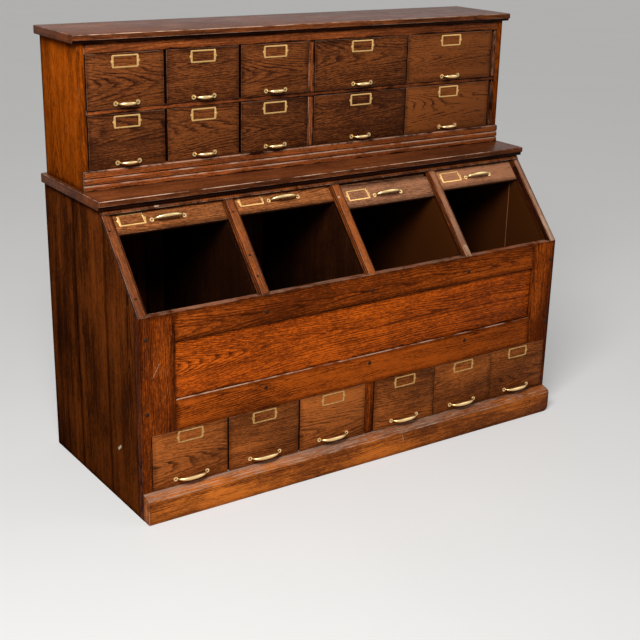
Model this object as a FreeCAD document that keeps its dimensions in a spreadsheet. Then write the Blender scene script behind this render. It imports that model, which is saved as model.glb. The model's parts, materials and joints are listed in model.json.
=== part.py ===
"""Oak parts cabinet: a lower case with four slant-front bins behind two-leaf sliding lids and a bank
of small drawers under them, a counter, and an upper case of drawers standing on the counter.

Frame: X runs across the front, to the right. Y runs from front to back. Z is up. The origin is on
the floor, under the middle of the whole cabinet's box. The formulas below are written in the case
frame, whose Y is zero on the face of the front frame, and node() moves every sub-part back from it.
All sizes are in millimetres and degrees.
"""
import FreeCAD, Part
import math
import os
import re

import Sketcher

V = FreeCAD.Vector

SIZES = {
    # lower case
    "case_width": 1420,
    "case_depth": 562,
    "front_height": 561,
    "slope_angle": 48.5,
    "slope_rise": 230,
    "side_thickness": 20,
    "plank_width": 187,
    "plank_ease": 1.2,
    "back_thickness": 12,
    "back_plank_width": 142,
    "floor_thickness": 12,
    "rabbet_play": 0.5,
    # front frame and its panel
    "frame_thickness": 22,
    "left_stile_width": 100,
    "right_stile_width": 85,
    "top_rail_height": 78,
    "bottom_rail_height": 86,
    "left_foot_width": 27,
    "right_foot_width": 10,
    "post_left": -0.5,
    "post_width": 27,
    "panel_recess": 7,
    "panel_thickness": 8,
    "panel_tongue": 9,
    # base moulding
    "plinth_projection": 31,
    "plinth_front_height": 66,
    "plinth_back_height": 79,
    "plinth_bevel": 7,
    "plinth_corner_radius": 18,
    # lower drawers
    "bay_height": 79.5,
    "lower_drawer_height": 155.5,
    "lower_drawer_play": 45,
    "left_drawer_gap": 5.5,
    "right_drawer_gap": 2,
    "drawer_side_gap": 2.5,
    "runner_clearance": 0.5,
    "middle_drawer_stand": 2,
    "partition_thickness": 9,
    # drawer joinery
    "drawer_front_thickness": 20,
    "drawer_side_thickness": 10,
    "drawer_bottom_thickness": 6,
    "drawer_bottom_rise": 8,
    "bottom_groove": 5,
    "box_inset": 9,
    "side_drop": 8,
    "tail_length": 12,
    "tail_flare": 3,
    # bins, their strips and their lids
    "divider_1_centre": -340,
    "divider_2_centre": 8,
    "divider_3_centre": 360,
    "divider_core": 12,
    "cheek_thickness": 12,
    "side_strip_width": 31,
    "divider_strip_width": 38,
    "strip_thickness": 10,
    "strip_flat": 22,
    "strip_step": 3.5,
    "header_width": 14,
    "header_gap": 3,
    "header_proud": 2,
    "header_relief": 2,
    "lid_recess": 11,
    "lid_thickness": 12,
    "lid_clearance": 0.5,
    "lid_end_play": 1.5,
    "lid_board_height": 67,
    "lid_tuck": 21,
    "lid_foot": 16,
    "leaf_end_gap": 3,
    "leaf_droop": 4,
    "hinge_gap": 0.5,
    "hinge_length": 60,
    "hinge_plate_width": 22,
    "hinge_plate_thickness": 1.6,
    "hinge_pin_radius": 1.2,
    "hinge_knuckle_radius": 3,
    "hinge_clearance": 0.3,
    "guide_pin_radius": 3,
    "guide_pin_reach": 8,
    "guide_pin_inset": 6,
    "guide_groove_width": 8,
    "guide_groove_depth": 7,
    "lid_1_drop": 8,
    "lid_2_drop": 0.5,
    "lid_3_drop": 30.5,
    "lid_4_drop": 16,
    # counter
    "counter_thickness": 25,
    "counter_overhang": 9,
    "counter_reach": 19.5,
    "nosing_height": 14,
    "nosing_step": 6,
    "arris_radius": 3,
    # upper case
    "upper_width": 1416,
    "upper_depth": 240,
    "upper_setback": 17,
    "upper_side_thickness": 18,
    "band_height": 17.5,
    "band_projection": 9,
    "band_groove": 4,
    "band_quirk": 2.5,
    "band_bevel": 3,
    "band_round": 6,
    "upper_drawer_height": 141,
    "upper_drawer_play": 13,
    "upper_drawer_gap": 3,
    "upper_rail_height": 12,
    "narrow_drawer_gap": 8,
    "wide_drawer_gap": 4,
    "upper_post_left": -12,
    "upper_post_width": 17,
    "right_filler_width": 11,
    "right_filler_gap": 8,
    "upper_frame_thickness": 20,
    "frieze_height": 28,
    "cornice_thickness": 22,
    "cornice_projection": 16,
    # brass
    "lower_pull_centres": 94,
    "lower_pull_drop": 19,
    "lower_label_drop": 136,
    "lid_pull_inset": 151,
    "lid_pull_rise": 28,
    "lid_label_inset": 50,
    "lid_label_rise": 38,
    "upper_pull_centres": 63,
    "upper_pull_drop": 13,
    "upper_label_drop": 119.5,
    "pull_projection": 24,
    "pull_neck_radius": 2.6,
    "pull_grip_radius": 5,
    "foot_radius": 6.5,
    "foot_thickness": 3.5,
    "label_length": 72,
    "label_height": 33,
    "label_ear": 4,
    "label_rim": 4,
    "label_thickness": 1.4,
}

doc = FreeCAD.newDocument("parts_cabinet")
sheet = doc.addObject("Spreadsheet::Sheet", "sizes")
for row, (alias, value) in enumerate(SIZES.items(), start=1):
    sheet.set(f"A{row}", alias)
    sheet.set(f"B{row}", str(value))
    sheet.setAlias(f"B{row}", alias)
doc.recompute()

NODES = []


# ---- helpers -------------------------------------------------------------------------------------
def size(alias):
    """A driving dimension read from the sheet, for shapes that Part's own functions make."""
    return float(sheet.get(alias))


def bind(thing, prop, formula):
    """Binds a property to a formula whose size names are read from the sheet."""
    named = re.sub(r"[a-z]\w*", lambda m: f"sizes.{m[0]}" if m[0] in SIZES else m[0], formula)
    thing.setExpression(prop, named)


def place(thing, x="0", y="0", z="0", tilt=None):
    """Binds a placement: a tilt about X through the object's own origin, then a move."""
    if tilt is not None:
        thing.Placement.Rotation = FreeCAD.Rotation(V(1, 0, 0), 10)
        bind(thing, "Placement.Rotation.Angle", tilt)
    for axis, formula in zip("xyz", (x, y, z)):
        bind(thing, f"Placement.Base.{axis}", formula)


def board(label, x, y, z):
    """A rectangular board between two planes on each axis."""
    box = doc.addObject("Part::Box", label)
    for prop, (low, high) in zip(("Length", "Width", "Height"), (x, y, z)):
        bind(box, prop, f"({high}) - ({low})")
    place(box, x[0], y[0], z[0])
    return box


def outline(body, plane, loops):
    """A sketch of closed outlines on one of the body's origin planes, each corner bound to two
    formulas."""
    sketch = body.newObject("Sketcher::SketchObject", f"{body.Name}_outline")
    support = next(f for f in body.Origin.OriginFeatures if f.Role == plane)
    sketch.AttachmentSupport = (support, "")
    sketch.MapMode = "FlatFace"
    first = 0
    for corners in loops:
        count = len(corners)
        for i in range(count):
            turn, onward = (2 * math.pi * (i + step) / count for step in (0, 1))
            start, end = (V(math.cos(a), math.sin(a), 0) * (first + 2) for a in (turn, onward))
            sketch.addGeometry(Part.LineSegment(start, end), False)
        for i in range(count):
            joined = Sketcher.Constraint("Coincident", first + i, 2, first + (i + 1) % count, 1)
            sketch.addConstraint(joined)
        for i, corner in enumerate(corners):
            for kind, formula in zip(("DistanceX", "DistanceY"), corner):
                number = sketch.addConstraint(Sketcher.Constraint(kind, -1, 1, first + i, 1, 1.0))
                bind(sketch, f"Constraints[{number}]", formula)
        first += count
    return sketch


def profile(label, plane, length, *loops, start="0"):
    """A body padded from outlines: along +X from the YZ plane, along +Y from the XZ plane and along
    +Z from the XY plane."""
    body = doc.addObject("PartDesign::Body", label)
    sketch = outline(body, plane, loops)
    pad = body.newObject("PartDesign::Pad", f"{label}_pad")
    pad.Profile = sketch
    pad.Reversed = plane == "XZ_Plane"
    bind(pad, "Length", length)
    axis = {"YZ_Plane": "x", "XZ_Plane": "y", "XY_Plane": "z"}[plane]
    bind(body, f"Placement.Base.{axis}", start)
    return body


def rounded(body, radius, plane, *corners):
    """Rounds the edges of a body that pass through the given corners, seen along the third axis and
    measured in the body's own frame."""
    doc.recompute()
    base, names = body.Tip, []
    for number, edge in enumerate(base.Shape.Edges, start=1):
        ends = [[getattr(end.Point, "xyz"["XYZ".index(axis)]) for axis in plane]
                for end in (edge.firstVertex(), edge.lastVertex())]
        if any(math.dist(end, corner) < 0.01 for end in ends for corner in corners):
            if math.dist(*ends) < 0.01:
                names.append(f"Edge{number}")
    fillet = body.newObject("PartDesign::Fillet", f"{body.Name}_fillet")
    fillet.Base = (base, names)
    bind(fillet, "Radius", radius)
    return body


def cut(label, base, *tools):
    """The base with the tools taken out of it."""
    result = doc.addObject("Part::Cut", label)
    result.Base = base
    result.Tool = tools[0] if len(tools) == 1 else group(f"{label}_tools", tools)
    return result


def group(label, pieces, **where):
    """Several pieces in one place, each still a solid of its own."""
    compound = doc.addObject("Part::Compound", label)
    compound.Links = list(pieces)
    place(compound, **where)
    return compound


def feature(label, shape):
    """A piece whose shape Part's own functions made."""
    made = doc.addObject("Part::Feature", label)
    made.Shape = shape
    return made


def node(label, pieces, x="0", y="0", z="0", tilt=None):
    """A finished sub-part: its pieces, moved from the case frame to the cabinet's own."""
    centred = f"{y} + (plinth_projection - case_depth)/2"
    NODES.append(group(label, pieces, x=x, y=centred, z=z, tilt=tilt))


def slope_point(up, depth):
    """Y and Z of a point at a distance up the slope and a depth square to it, in the case frame."""
    y = f"({up})*cos(slope_angle) + ({depth})*sin(slope_angle)"
    z = f"front_height + ({up})*sin(slope_angle) - ({depth})*cos(slope_angle)"
    return y, z


def slope_z(y, depth):
    """Height at which the plane at a depth under the slope passes a given Y."""
    return f"front_height + (({y})*sin(slope_angle) - ({depth}))/cos(slope_angle)"


def slope_y(z, depth):
    """Y at which the plane at a depth under the slope passes a given height."""
    return f"((({z}) - front_height)*cos(slope_angle) + ({depth}))/sin(slope_angle)"


# ---- places that several pieces share --------------------------------------------------------------
LEFT, RIGHT = "-case_width/2", "case_width/2"
INNER_LEFT, INNER_RIGHT = f"{LEFT} + side_thickness", f"{RIGHT} - side_thickness"
BACK_FACE = "case_depth - back_thickness"
OPENING_TOP = "bay_height + lower_drawer_height + 2*runner_clearance"
BIN_FLOOR = f"{OPENING_TOP} + floor_thickness"
COUNTER_UNDERSIDE = "front_height + slope_rise"
COUNTER_TOP = f"{COUNTER_UNDERSIDE} + counter_thickness"
SLOPE_LENGTH = "slope_rise/sin(slope_angle)"
STRIP_END = slope_y(COUNTER_UNDERSIDE, "strip_thickness")
STRIP_SEAT = slope_y("front_height", "strip_thickness")


def side_outline(label, length, foot, back, start):
    """An upright board with the slope's outline, whose nose on top of the front frame carries the foot
    of a strip."""
    return profile(label, "YZ_Plane", length, [
        ("frame_thickness", foot),
        (back, foot),
        (back, COUNTER_UNDERSIDE),
        (STRIP_END, COUNTER_UNDERSIDE),
        (STRIP_SEAT, "front_height"),
        ("frame_thickness", "front_height"),
    ], start=start)


# ---- lower case: sides of three planks each, their outer corners eased ------------------------------
seams = ["0", "case_depth - 2*plank_width", "case_depth - plank_width", "case_depth"]
for side, start, outer, inner, inward in (
    ("left", LEFT, LEFT, INNER_LEFT, "+"),
    ("right", INNER_RIGHT, RIGHT, INNER_RIGHT, "-"),
):
    whole = side_outline(f"{side}_outline", "side_thickness", "0", "case_depth", start)
    eased = f"{outer} {inward} plank_ease"
    planks = []
    for i, (front, back) in enumerate(zip(seams, seams[1:]), start=1):
        blank = profile(f"{side}_plank_{i}_blank", "XY_Plane", COUNTER_UNDERSIDE, [
            (inner, front),
            (eased, front),
            (outer, f"{front} + plank_ease"),
            (outer, f"{back} - plank_ease"),
            (eased, back),
            (inner, back),
        ])
        plank = doc.addObject("Part::Common", f"{side}_plank_{i}")
        plank.Base, plank.Tool = whole, blank
        planks.append(plank)
    node(f"lower_side_{side}", planks)

# ---- lower case: upright boards that close the back ------------------------------------------------
inner_width = size("case_width") - 2 * size("side_thickness")
count = round(inner_width / size("back_plank_width"))
seams = [f"{INNER_LEFT} + (case_width - 2*side_thickness)*{i}/{count}" for i in range(count + 1)]
back_boards = [
    board(f"back_board_{i + 1}", seams[i:i + 2], (BACK_FACE, "case_depth"), ("0", COUNTER_UNDERSIDE))
    for i in range(count)
]
node("lower_back", back_boards)

# ---- front frame: notched stiles, two rails, a base rail and the post between the drawer banks -----
PANEL_BOTTOM = f"{OPENING_TOP} + bottom_rail_height"
PANEL_TOP = "front_height - top_rail_height"
PANEL_LEFT, PANEL_RIGHT = f"{LEFT} + left_stile_width", f"{RIGHT} - right_stile_width"
FOOT_LEFT, FOOT_RIGHT = f"{LEFT} + left_foot_width", f"{RIGHT} - right_foot_width"


def stile(label, outer, inner, foot):
    """A stile notched at its foot for the outermost drawer."""
    return profile(f"{label}_face", "XZ_Plane", "frame_thickness", [
        (outer, "0"),
        (foot, "0"),
        (foot, OPENING_TOP),
        (inner, OPENING_TOP),
        (inner, "front_height"),
        (outer, "front_height"),
    ])


rail_y = ("0", "frame_thickness")
frame_members = [
    stile("left_stile", LEFT, PANEL_LEFT, FOOT_LEFT),
    stile("right_stile", RIGHT, PANEL_RIGHT, FOOT_RIGHT),
    board("top_rail", (PANEL_LEFT, PANEL_RIGHT), rail_y, (PANEL_TOP, "front_height")),
    board("bottom_rail", (PANEL_LEFT, PANEL_RIGHT), rail_y, (OPENING_TOP, PANEL_BOTTOM)),
    board("base_rail", (FOOT_LEFT, FOOT_RIGHT), rail_y, ("0", "bay_height")),
    board("post", ("post_left", "post_left + post_width"), rail_y, ("bay_height", OPENING_TOP)),
]
panel_groove = board(
    "panel_groove",
    (f"{PANEL_LEFT} - panel_tongue - rabbet_play", f"{PANEL_RIGHT} + panel_tongue + rabbet_play"),
    ("panel_recess", "panel_recess + panel_thickness"),
    (f"{PANEL_BOTTOM} - panel_tongue - rabbet_play", f"{PANEL_TOP} + panel_tongue + rabbet_play"),
)
grooved = [cut(f"{member.Name}_grooved", member, panel_groove) for member in frame_members[:4]]
node("front_frame", grooved + frame_members[4:])

panel = board(
    "panel_board",
    (f"{PANEL_LEFT} - panel_tongue", f"{PANEL_RIGHT} + panel_tongue"),
    ("panel_recess", "panel_recess + panel_thickness"),
    (f"{PANEL_BOTTOM} - panel_tongue", f"{PANEL_TOP} + panel_tongue"),
)
node("front_panel", [panel])

# ---- base moulding across the front ----------------------------------------------------------------
# its right-hand lower corner is rounded off
moulding = profile("plinth_board", "YZ_Plane", "case_width", [
    ("0", "0"),
    ("-plinth_projection", "0"),
    ("-plinth_projection", "plinth_front_height"),
    ("-plinth_projection + plinth_bevel", "plinth_front_height + plinth_bevel"),
    ("0", "plinth_back_height"),
], start=LEFT)
lowest_right = (size("case_width"), 0)
node("plinth", [rounded(moulding, "plinth_corner_radius", "XZ", lowest_right)])

# ---- drawer bay: its bottom, the boards between the drawers and the floor of the bins ---------------
LEFT_BANK = (FOOT_LEFT, "post_left")
RIGHT_BANK = ("post_left + post_width", FOOT_RIGHT)


def bank(opening, drawers, gap, edge):
    """Width of each drawer that shares an opening, and the X of each drawer's middle."""
    low, high = opening
    width = f"(({high}) - ({low}) - 2*{edge} - {drawers - 1}*{gap})/{drawers}"
    middles = [f"({low}) + {edge} + {width}/2 + {i}*({width} + {gap})" for i in range(drawers)]
    return width, middles


def partitions(label, width, middles, gap, y, z):
    """The upright boards behind the gaps of one bank."""
    return [
        board(f"{label}_{i + 1}", [f"{middle} + {width}/2 + {gap}/2 {half}" for half in (
            "- partition_thickness/2", "+ partition_thickness/2")], y, z)
        for i, middle in enumerate(middles[:-1])
    ]


lower_banks = {
    "left": bank(LEFT_BANK, 3, "left_drawer_gap", "drawer_side_gap"),
    "right": bank(RIGHT_BANK, 3, "right_drawer_gap", "drawer_side_gap"),
}
inside = (INNER_LEFT, INNER_RIGHT)
behind_frame = ("frame_thickness", BACK_FACE)
bay_pieces = [
    board("bay_bottom", inside, behind_frame, ("bay_height - floor_thickness", "bay_height")),
    board("bin_floor", inside, behind_frame, (OPENING_TOP, BIN_FLOOR)),
    board("post_partition", ("post_left", "post_left + post_width"), behind_frame,
          ("bay_height", OPENING_TOP)),
]
for side, (width, middles) in lower_banks.items():
    gap = f"{side}_drawer_gap"
    bay_pieces += partitions(f"{side}_partition", width, middles, gap, behind_frame,
                             ("bay_height", OPENING_TOP))
node("drawer_bay", bay_pieces)

# ---- partitions of the bins ------------------------------------------------------------------------
DIVIDERS = [f"divider_{i}_centre" for i in (1, 2, 3)]
LID_BED = "lid_recess + lid_thickness + lid_clearance"
HEADER_TOP = f"{SLOPE_LENGTH} - header_gap"
HEADER_FOOT = f"{HEADER_TOP} - header_width"
HINGE_OPEN = f"{HEADER_FOOT} + lid_tuck"
LID_TRAVEL = f"({HINGE_OPEN} - lid_board_height - lid_foot)"
LEAF_LENGTH = f"({SLOPE_LENGTH} - lid_foot - lid_board_height - leaf_end_gap)"


def guide_path(share):
    """Y and Z of a leaf's guide pin when the lid has gone down this share of its travel."""
    slope, droop = math.radians(size("slope_angle")), math.radians(size("leaf_droop"))
    slope_length = size("slope_rise") / math.sin(slope)
    highest = slope_length - size("header_gap") - size("header_width") + size("lid_tuck")
    lowest = size("lid_foot") + size("lid_board_height")
    up = highest - share * (highest - lowest)
    depth = size("lid_recess") + size("lid_thickness")
    turn = -droop + (slope + droop) * share
    leaf_length = slope_length - lowest - size("leaf_end_gap")
    along, across = leaf_length - size("guide_pin_inset"), size("lid_thickness") / 2
    y = up * math.cos(slope) + depth * math.sin(slope)
    z = size("front_height") + up * math.sin(slope) - depth * math.cos(slope)
    return (y + along * math.cos(turn) - across * math.sin(turn),
            z + along * math.sin(turn) + across * math.cos(turn))


def guide_groove():
    """The curved groove that a leaf's guide pin runs in: an arc through the pin's two end places and
    its middle one, with round ends."""
    ends = [V(0, *guide_path(share)) for share in (0, 0.5, 1)]
    arc = Part.Arc(*ends).toShape()
    centre, radius = arc.Curve.Center, arc.Curve.Radius
    half = size("guide_groove_width") / 2
    sides = []
    for reach in (radius + half, radius - half):
        sides.append([centre + (point - centre) * (reach / radius) for point in ends])
    caps = []
    for near, far in ((0, 2), (2, 0)):
        along = (ends[near] - ends[1]).normalize()
        caps.append([sides[0][near], ends[near] + along * half, sides[1][near]])
    edges = [Part.Arc(*points).toShape() for points in (*sides, *caps)]
    face = Part.Face(Part.Wire(Part.__sortEdges__(edges)))
    return face.extrude(V(2 * size("guide_groove_depth"), 0, 0))


groove_tool = guide_groove()


def cheek(label, x, faces_right):
    """One face board of a bin, with a slanting edge that carries the lid, and the guide groove in the
    face that looks into the bin."""
    rise_y, rise_z = slope_point(f"{HINGE_OPEN} + 2*lid_clearance", LID_BED)
    blank = profile(f"{label}_blank", "YZ_Plane", "cheek_thickness", [
        ("frame_thickness", BIN_FLOOR),
        (BACK_FACE, BIN_FLOOR),
        (BACK_FACE, COUNTER_UNDERSIDE),
        (rise_y, COUNTER_UNDERSIDE),
        (rise_y, rise_z),
        ("frame_thickness", slope_z("frame_thickness", LID_BED)),
    ], start=x)
    groove = feature(f"{label}_groove", groove_tool)
    if faces_right:
        bind(groove, "Placement.Base.x", f"{x} + cheek_thickness - guide_groove_depth")
    else:
        bind(groove, "Placement.Base.x", f"{x} - guide_groove_depth")
    return cut(label, blank, groove)


partition_pieces = [
    cheek("left_cheek", INNER_LEFT, True),
    cheek("right_cheek", f"{INNER_RIGHT} - cheek_thickness", False),
]
for i, centre in enumerate(DIVIDERS, start=1):
    partition_pieces += [
        cheek(f"divider_{i}_left_cheek", f"{centre} - divider_core/2 - cheek_thickness", False),
        side_outline(f"divider_{i}_core", "divider_core", BIN_FLOOR, BACK_FACE,
                     f"{centre} - divider_core/2"),
        cheek(f"divider_{i}_right_cheek", f"{centre} + divider_core/2", True),
    ]
node("bin_partitions", partition_pieces)

# ---- stepped strips over the edges of the slope, and the header rail along its top ------------------
def slope_strip(label, corners):
    """A strip extruded up the slope from its section, cut level where it stands on the front frame."""
    bar = profile(f"{label}_bar", "XZ_Plane", f"{HEADER_FOOT} + 2*strip_thickness", corners)
    raised = group(f"{label}_raised", [bar], y="-2*strip_thickness*cos(slope_angle)",
                   z="front_height - 2*strip_thickness*sin(slope_angle)", tilt="slope_angle")
    below = board(f"{label}_below", (f"{LEFT} - case_width", f"{RIGHT} + case_width"),
                  ("-case_depth", "case_depth"), ("0", "front_height"))
    return cut(label, raised, below)


strips = []
step, low = "strip_step", "-strip_thickness"
for i, centre in enumerate(DIVIDERS, start=1):
    half, flat = "divider_strip_width/2", "strip_flat/2"
    strips.append(slope_strip(f"divider_strip_{i}", [
        (f"{centre} - {half}", low),
        (f"{centre} + {half}", low),
        (f"{centre} + {half}", "-2*strip_step"),
        (f"{centre} + ({half} + {flat})/2", "-2*strip_step"),
        (f"{centre} + ({half} + {flat})/2", "-strip_step"),
        (f"{centre} + {flat}", "-strip_step"),
        (f"{centre} + {flat}", "0"),
        (f"{centre} - {flat}", "0"),
        (f"{centre} - {flat}", "-strip_step"),
        (f"{centre} - ({half} + {flat})/2", "-strip_step"),
        (f"{centre} - ({half} + {flat})/2", "-2*strip_step"),
        (f"{centre} - {half}", "-2*strip_step"),
    ]))
for side, outer, sign in (("left", LEFT, "+"), ("right", RIGHT, "-")):
    strips.append(slope_strip(f"{side}_strip", [
        (outer, low),
        (f"{outer} {sign} side_strip_width", low),
        (f"{outer} {sign} side_strip_width", "-2*strip_step"),
        (f"{outer} {sign} (side_strip_width + strip_flat)/2", "-2*strip_step"),
        (f"{outer} {sign} (side_strip_width + strip_flat)/2", "-strip_step"),
        (f"{outer} {sign} strip_flat", "-strip_step"),
        (f"{outer} {sign} strip_flat", "0"),
        (outer, "0"),
    ]))
header_blank = profile("header_blank", "YZ_Plane", "case_width", [
    slope_point(HEADER_FOOT, "strip_thickness"),
    slope_point(HEADER_FOOT, "-header_proud"),
    slope_point(HEADER_TOP, "-header_proud"),
    slope_point(HEADER_TOP, "strip_thickness"),
], start=LEFT)
strip_lefts = [f"{LEFT} + side_strip_width"]
strip_lefts += [f"{centre} + divider_strip_width/2" for centre in DIVIDERS]
strip_rights = [f"{centre} - divider_strip_width/2" for centre in DIVIDERS]
strip_rights.append(f"{RIGHT} - side_strip_width")
reliefs = [
    board(f"header_relief_{i}", edges, (f"{HEADER_FOOT} - header_relief", f"{HEADER_TOP} + header_relief"),
          ("-strip_thickness - header_relief", "-strip_thickness + header_relief"))
    for i, edges in enumerate(zip(strip_lefts, strip_rights), start=1)
]
header = cut("header_rail", header_blank,
             group("header_reliefs", reliefs, z="front_height", tilt="slope_angle"))
node("slope_strips", strips + [header])

# ---- counter with a rounded and undercut nosing ----------------------------------------------------
def nosed_board(label, front, back, foot, head, overhang, width):
    """A level board whose front edge is rounded above and undercut below."""
    raw = profile(label, "YZ_Plane", f"{width} + 2*{overhang}", [
        (f"{front} + nosing_step", foot),
        (back, foot),
        (back, head),
        (front, head),
        (front, f"{head} - nosing_height"),
        (f"{front} + nosing_step", f"{head} - nosing_height - nosing_step/2"),
    ], start=f"-{width}/2 - {overhang}")
    doc.recompute()
    arris = min((end.Point for end in raw.Shape.Vertexes), key=lambda end: end.y - end.z)
    return rounded(raw, "arris_radius", "YZ", (arris.y, arris.z))


COUNTER_FRONT = "slope_rise*cos(slope_angle)/sin(slope_angle) - counter_reach"
node("counter_top", [nosed_board("counter_board", COUNTER_FRONT, "case_depth", COUNTER_UNDERSIDE,
                                COUNTER_TOP, "counter_overhang", "case_width")])

# ---- upper case ------------------------------------------------------------------------------------
UPPER_LEFT, UPPER_RIGHT = "-upper_width/2", "upper_width/2"
UPPER_INNER_LEFT = f"{UPPER_LEFT} + upper_side_thickness"
UPPER_INNER_RIGHT = f"{UPPER_RIGHT} - upper_side_thickness"
ROW_HEIGHT = "(upper_drawer_height + 2*runner_clearance)"
ROW_1 = f"{COUNTER_TOP} + 3*band_height"
RAIL_1 = f"{ROW_1} + {ROW_HEIGHT}"
ROW_2 = f"{RAIL_1} + upper_rail_height"
FRIEZE = f"{ROW_2} + {ROW_HEIGHT}"
UPPER_TOP = f"{FRIEZE} + frieze_height"
UPPER_BACK = "case_depth - upper_setback"
UPPER_FRONT = f"{UPPER_BACK} - upper_depth"
UPPER_REAR = f"{UPPER_BACK} - back_thickness"
POST_X = ("upper_post_left", "upper_post_left + upper_post_width")
FILLER = f"{UPPER_INNER_RIGHT} - right_filler_width"

side_y = (UPPER_FRONT, UPPER_BACK)
node("upper_shell", [
    board("upper_side_left", (UPPER_LEFT, UPPER_INNER_LEFT), side_y, (COUNTER_TOP, UPPER_TOP)),
    board("upper_side_right", (UPPER_INNER_RIGHT, UPPER_RIGHT), side_y, (COUNTER_TOP, UPPER_TOP)),
    board("upper_back_panel", (UPPER_INNER_LEFT, UPPER_INNER_RIGHT), (UPPER_REAR, UPPER_BACK),
          (COUNTER_TOP, UPPER_TOP)),
])

frame_y = (UPPER_FRONT, f"{UPPER_FRONT} + upper_frame_thickness")
upper_inside = (UPPER_INNER_LEFT, UPPER_INNER_RIGHT)
node("upper_frame", [
    board("upper_base_rail", upper_inside, frame_y, (COUNTER_TOP, ROW_1)),
    board("upper_middle_rail", upper_inside, frame_y, (RAIL_1, ROW_2)),
    board("frieze_rail", upper_inside, frame_y, (FRIEZE, UPPER_TOP)),
    board("lower_row_post", POST_X, frame_y, (ROW_1, RAIL_1)),
    board("upper_row_post", POST_X, frame_y, (ROW_2, FRIEZE)),
    board("lower_row_filler", (FILLER, UPPER_INNER_RIGHT), frame_y, (ROW_1, RAIL_1)),
    board("upper_row_filler", (FILLER, UPPER_INNER_RIGHT), frame_y, (ROW_2, FRIEZE)),
])

upper_banks = {
    "narrow": bank((UPPER_INNER_LEFT, POST_X[0]), 3, "narrow_drawer_gap", "upper_drawer_gap"),
    "wide": bank((POST_X[1], f"{FILLER} - right_filler_gap"), 2, "wide_drawer_gap",
                 "upper_drawer_gap"),
}
dust_y = (f"{UPPER_FRONT} + upper_frame_thickness", UPPER_REAR)
carcass = [
    board("upper_bottom", upper_inside, dust_y, (f"{ROW_1} - floor_thickness", ROW_1)),
    board("dust_board", upper_inside, dust_y, (RAIL_1, ROW_2)),
    board("upper_lid_board", upper_inside, dust_y, (FRIEZE, f"{FRIEZE} + floor_thickness")),
]
for row, row_z in (("lower", (ROW_1, RAIL_1)), ("upper", (ROW_2, FRIEZE))):
    carcass.append(board(f"{row}_row_wall", POST_X, dust_y, row_z))
    for name, (width, middles) in upper_banks.items():
        carcass += partitions(f"{row}_{name}_partition", width, middles, f"{name}_drawer_gap",
                              dust_y, row_z)
node("upper_carcass", carcass)

# three bands between the counter and the lowest drawers, each with a bevelled top and a quirk behind
BAND_FACE = f"{UPPER_FRONT} - band_projection"
band_corners = []
for i in range(3):
    foot, head = f"{COUNTER_TOP} + {i}*band_height", f"{COUNTER_TOP} + {i + 1}*band_height"
    band_corners += [
        (BAND_FACE, foot),
        (BAND_FACE, f"{head} - band_quirk - band_bevel"),
        (f"{BAND_FACE} + band_bevel", f"{head} - band_quirk"),
        (f"{BAND_FACE} + band_groove", f"{head} - band_quirk"),
        (f"{BAND_FACE} + band_groove", head),
    ]
band_corners[-4:] = [(BAND_FACE, ROW_1), (UPPER_FRONT, ROW_1), (UPPER_FRONT, COUNTER_TOP)]
band_board = profile("band_board", "YZ_Plane", "upper_width", band_corners, start=UPPER_LEFT)
doc.recompute()
top_edge = max((end.Point for end in band_board.Shape.Vertexes), key=lambda end: end.z - end.y)
node("upper_moulding", [rounded(band_board, "band_round", "YZ", (top_edge.y, top_edge.z))])

CORNICE_FRONT = f"{UPPER_FRONT} - cornice_projection"
node("cornice", [nosed_board("cornice_board", CORNICE_FRONT, UPPER_BACK, UPPER_TOP,
                            f"{UPPER_TOP} + cornice_thickness", "cornice_projection", "upper_width")])


# ---- brass: bow pulls and label holders --------------------------------------------------------------
BOW_STATIONS, BOW_SIDES, FOOT_SIDES = 6, 8, 10


def ring(count, radius, middle, up, side):
    """Corners of a regular outline about a point, in the plane of two directions square to each
    other."""
    turns = [2 * math.pi * i / count for i in range(count)]
    return [middle + up * (radius * math.cos(turn)) + side * (radius * math.sin(turn))
            for turn in turns]


def bow_pull(label, centres):
    """A pull with two round feet and a bow that swells in its middle, its curved faces in flat facets
    because there are many of them. It lies along X on the XY plane and stands out along +Z."""
    half, foot_radius, foot_thickness = centres / 2, size("foot_radius"), size("foot_thickness")
    neck, grip, reach = (size(f"pull_{word}") for word in ("neck_radius", "grip_radius", "projection"))
    rise = reach - grip - foot_thickness / 2
    rings = []
    for i in range(BOW_STATIONS + 1):
        turn = math.pi * i / BOW_STATIONS
        middle = V(-half * math.cos(turn), 0, foot_thickness / 2 + rise * math.sin(turn))
        outward = V(-rise * math.cos(turn), 0, half * math.sin(turn)).normalize()
        radius = neck + (grip - neck) * math.sin(turn) ** 4
        rings.append(ring(BOW_SIDES, radius, middle, V(0, 1, 0), outward))
    corners = [tuple(reversed(rings[0])), tuple(rings[-1])]
    for here, beyond in zip(rings, rings[1:]):
        for i in range(BOW_SIDES):
            following = (i + 1) % BOW_SIDES
            corners.append((here[i], here[following], beyond[i]))
            corners.append((here[following], beyond[following], beyond[i]))
    faces = [Part.Face(Part.makePolygon([*points, points[0]])) for points in corners]
    bow = Part.makeSolid(Part.makeShell(faces))
    feet = []
    for x in (-half, half):
        outline_points = ring(FOOT_SIDES, foot_radius, V(x, 0, 0), V(1, 0, 0), V(0, 1, 0))
        base = Part.Face(Part.makePolygon([*outline_points, outline_points[0]]))
        feet.append(base.extrude(V(0, 0, foot_thickness)))
    return feature(label, bow.multiFuse(feet).removeSplitter())


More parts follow.
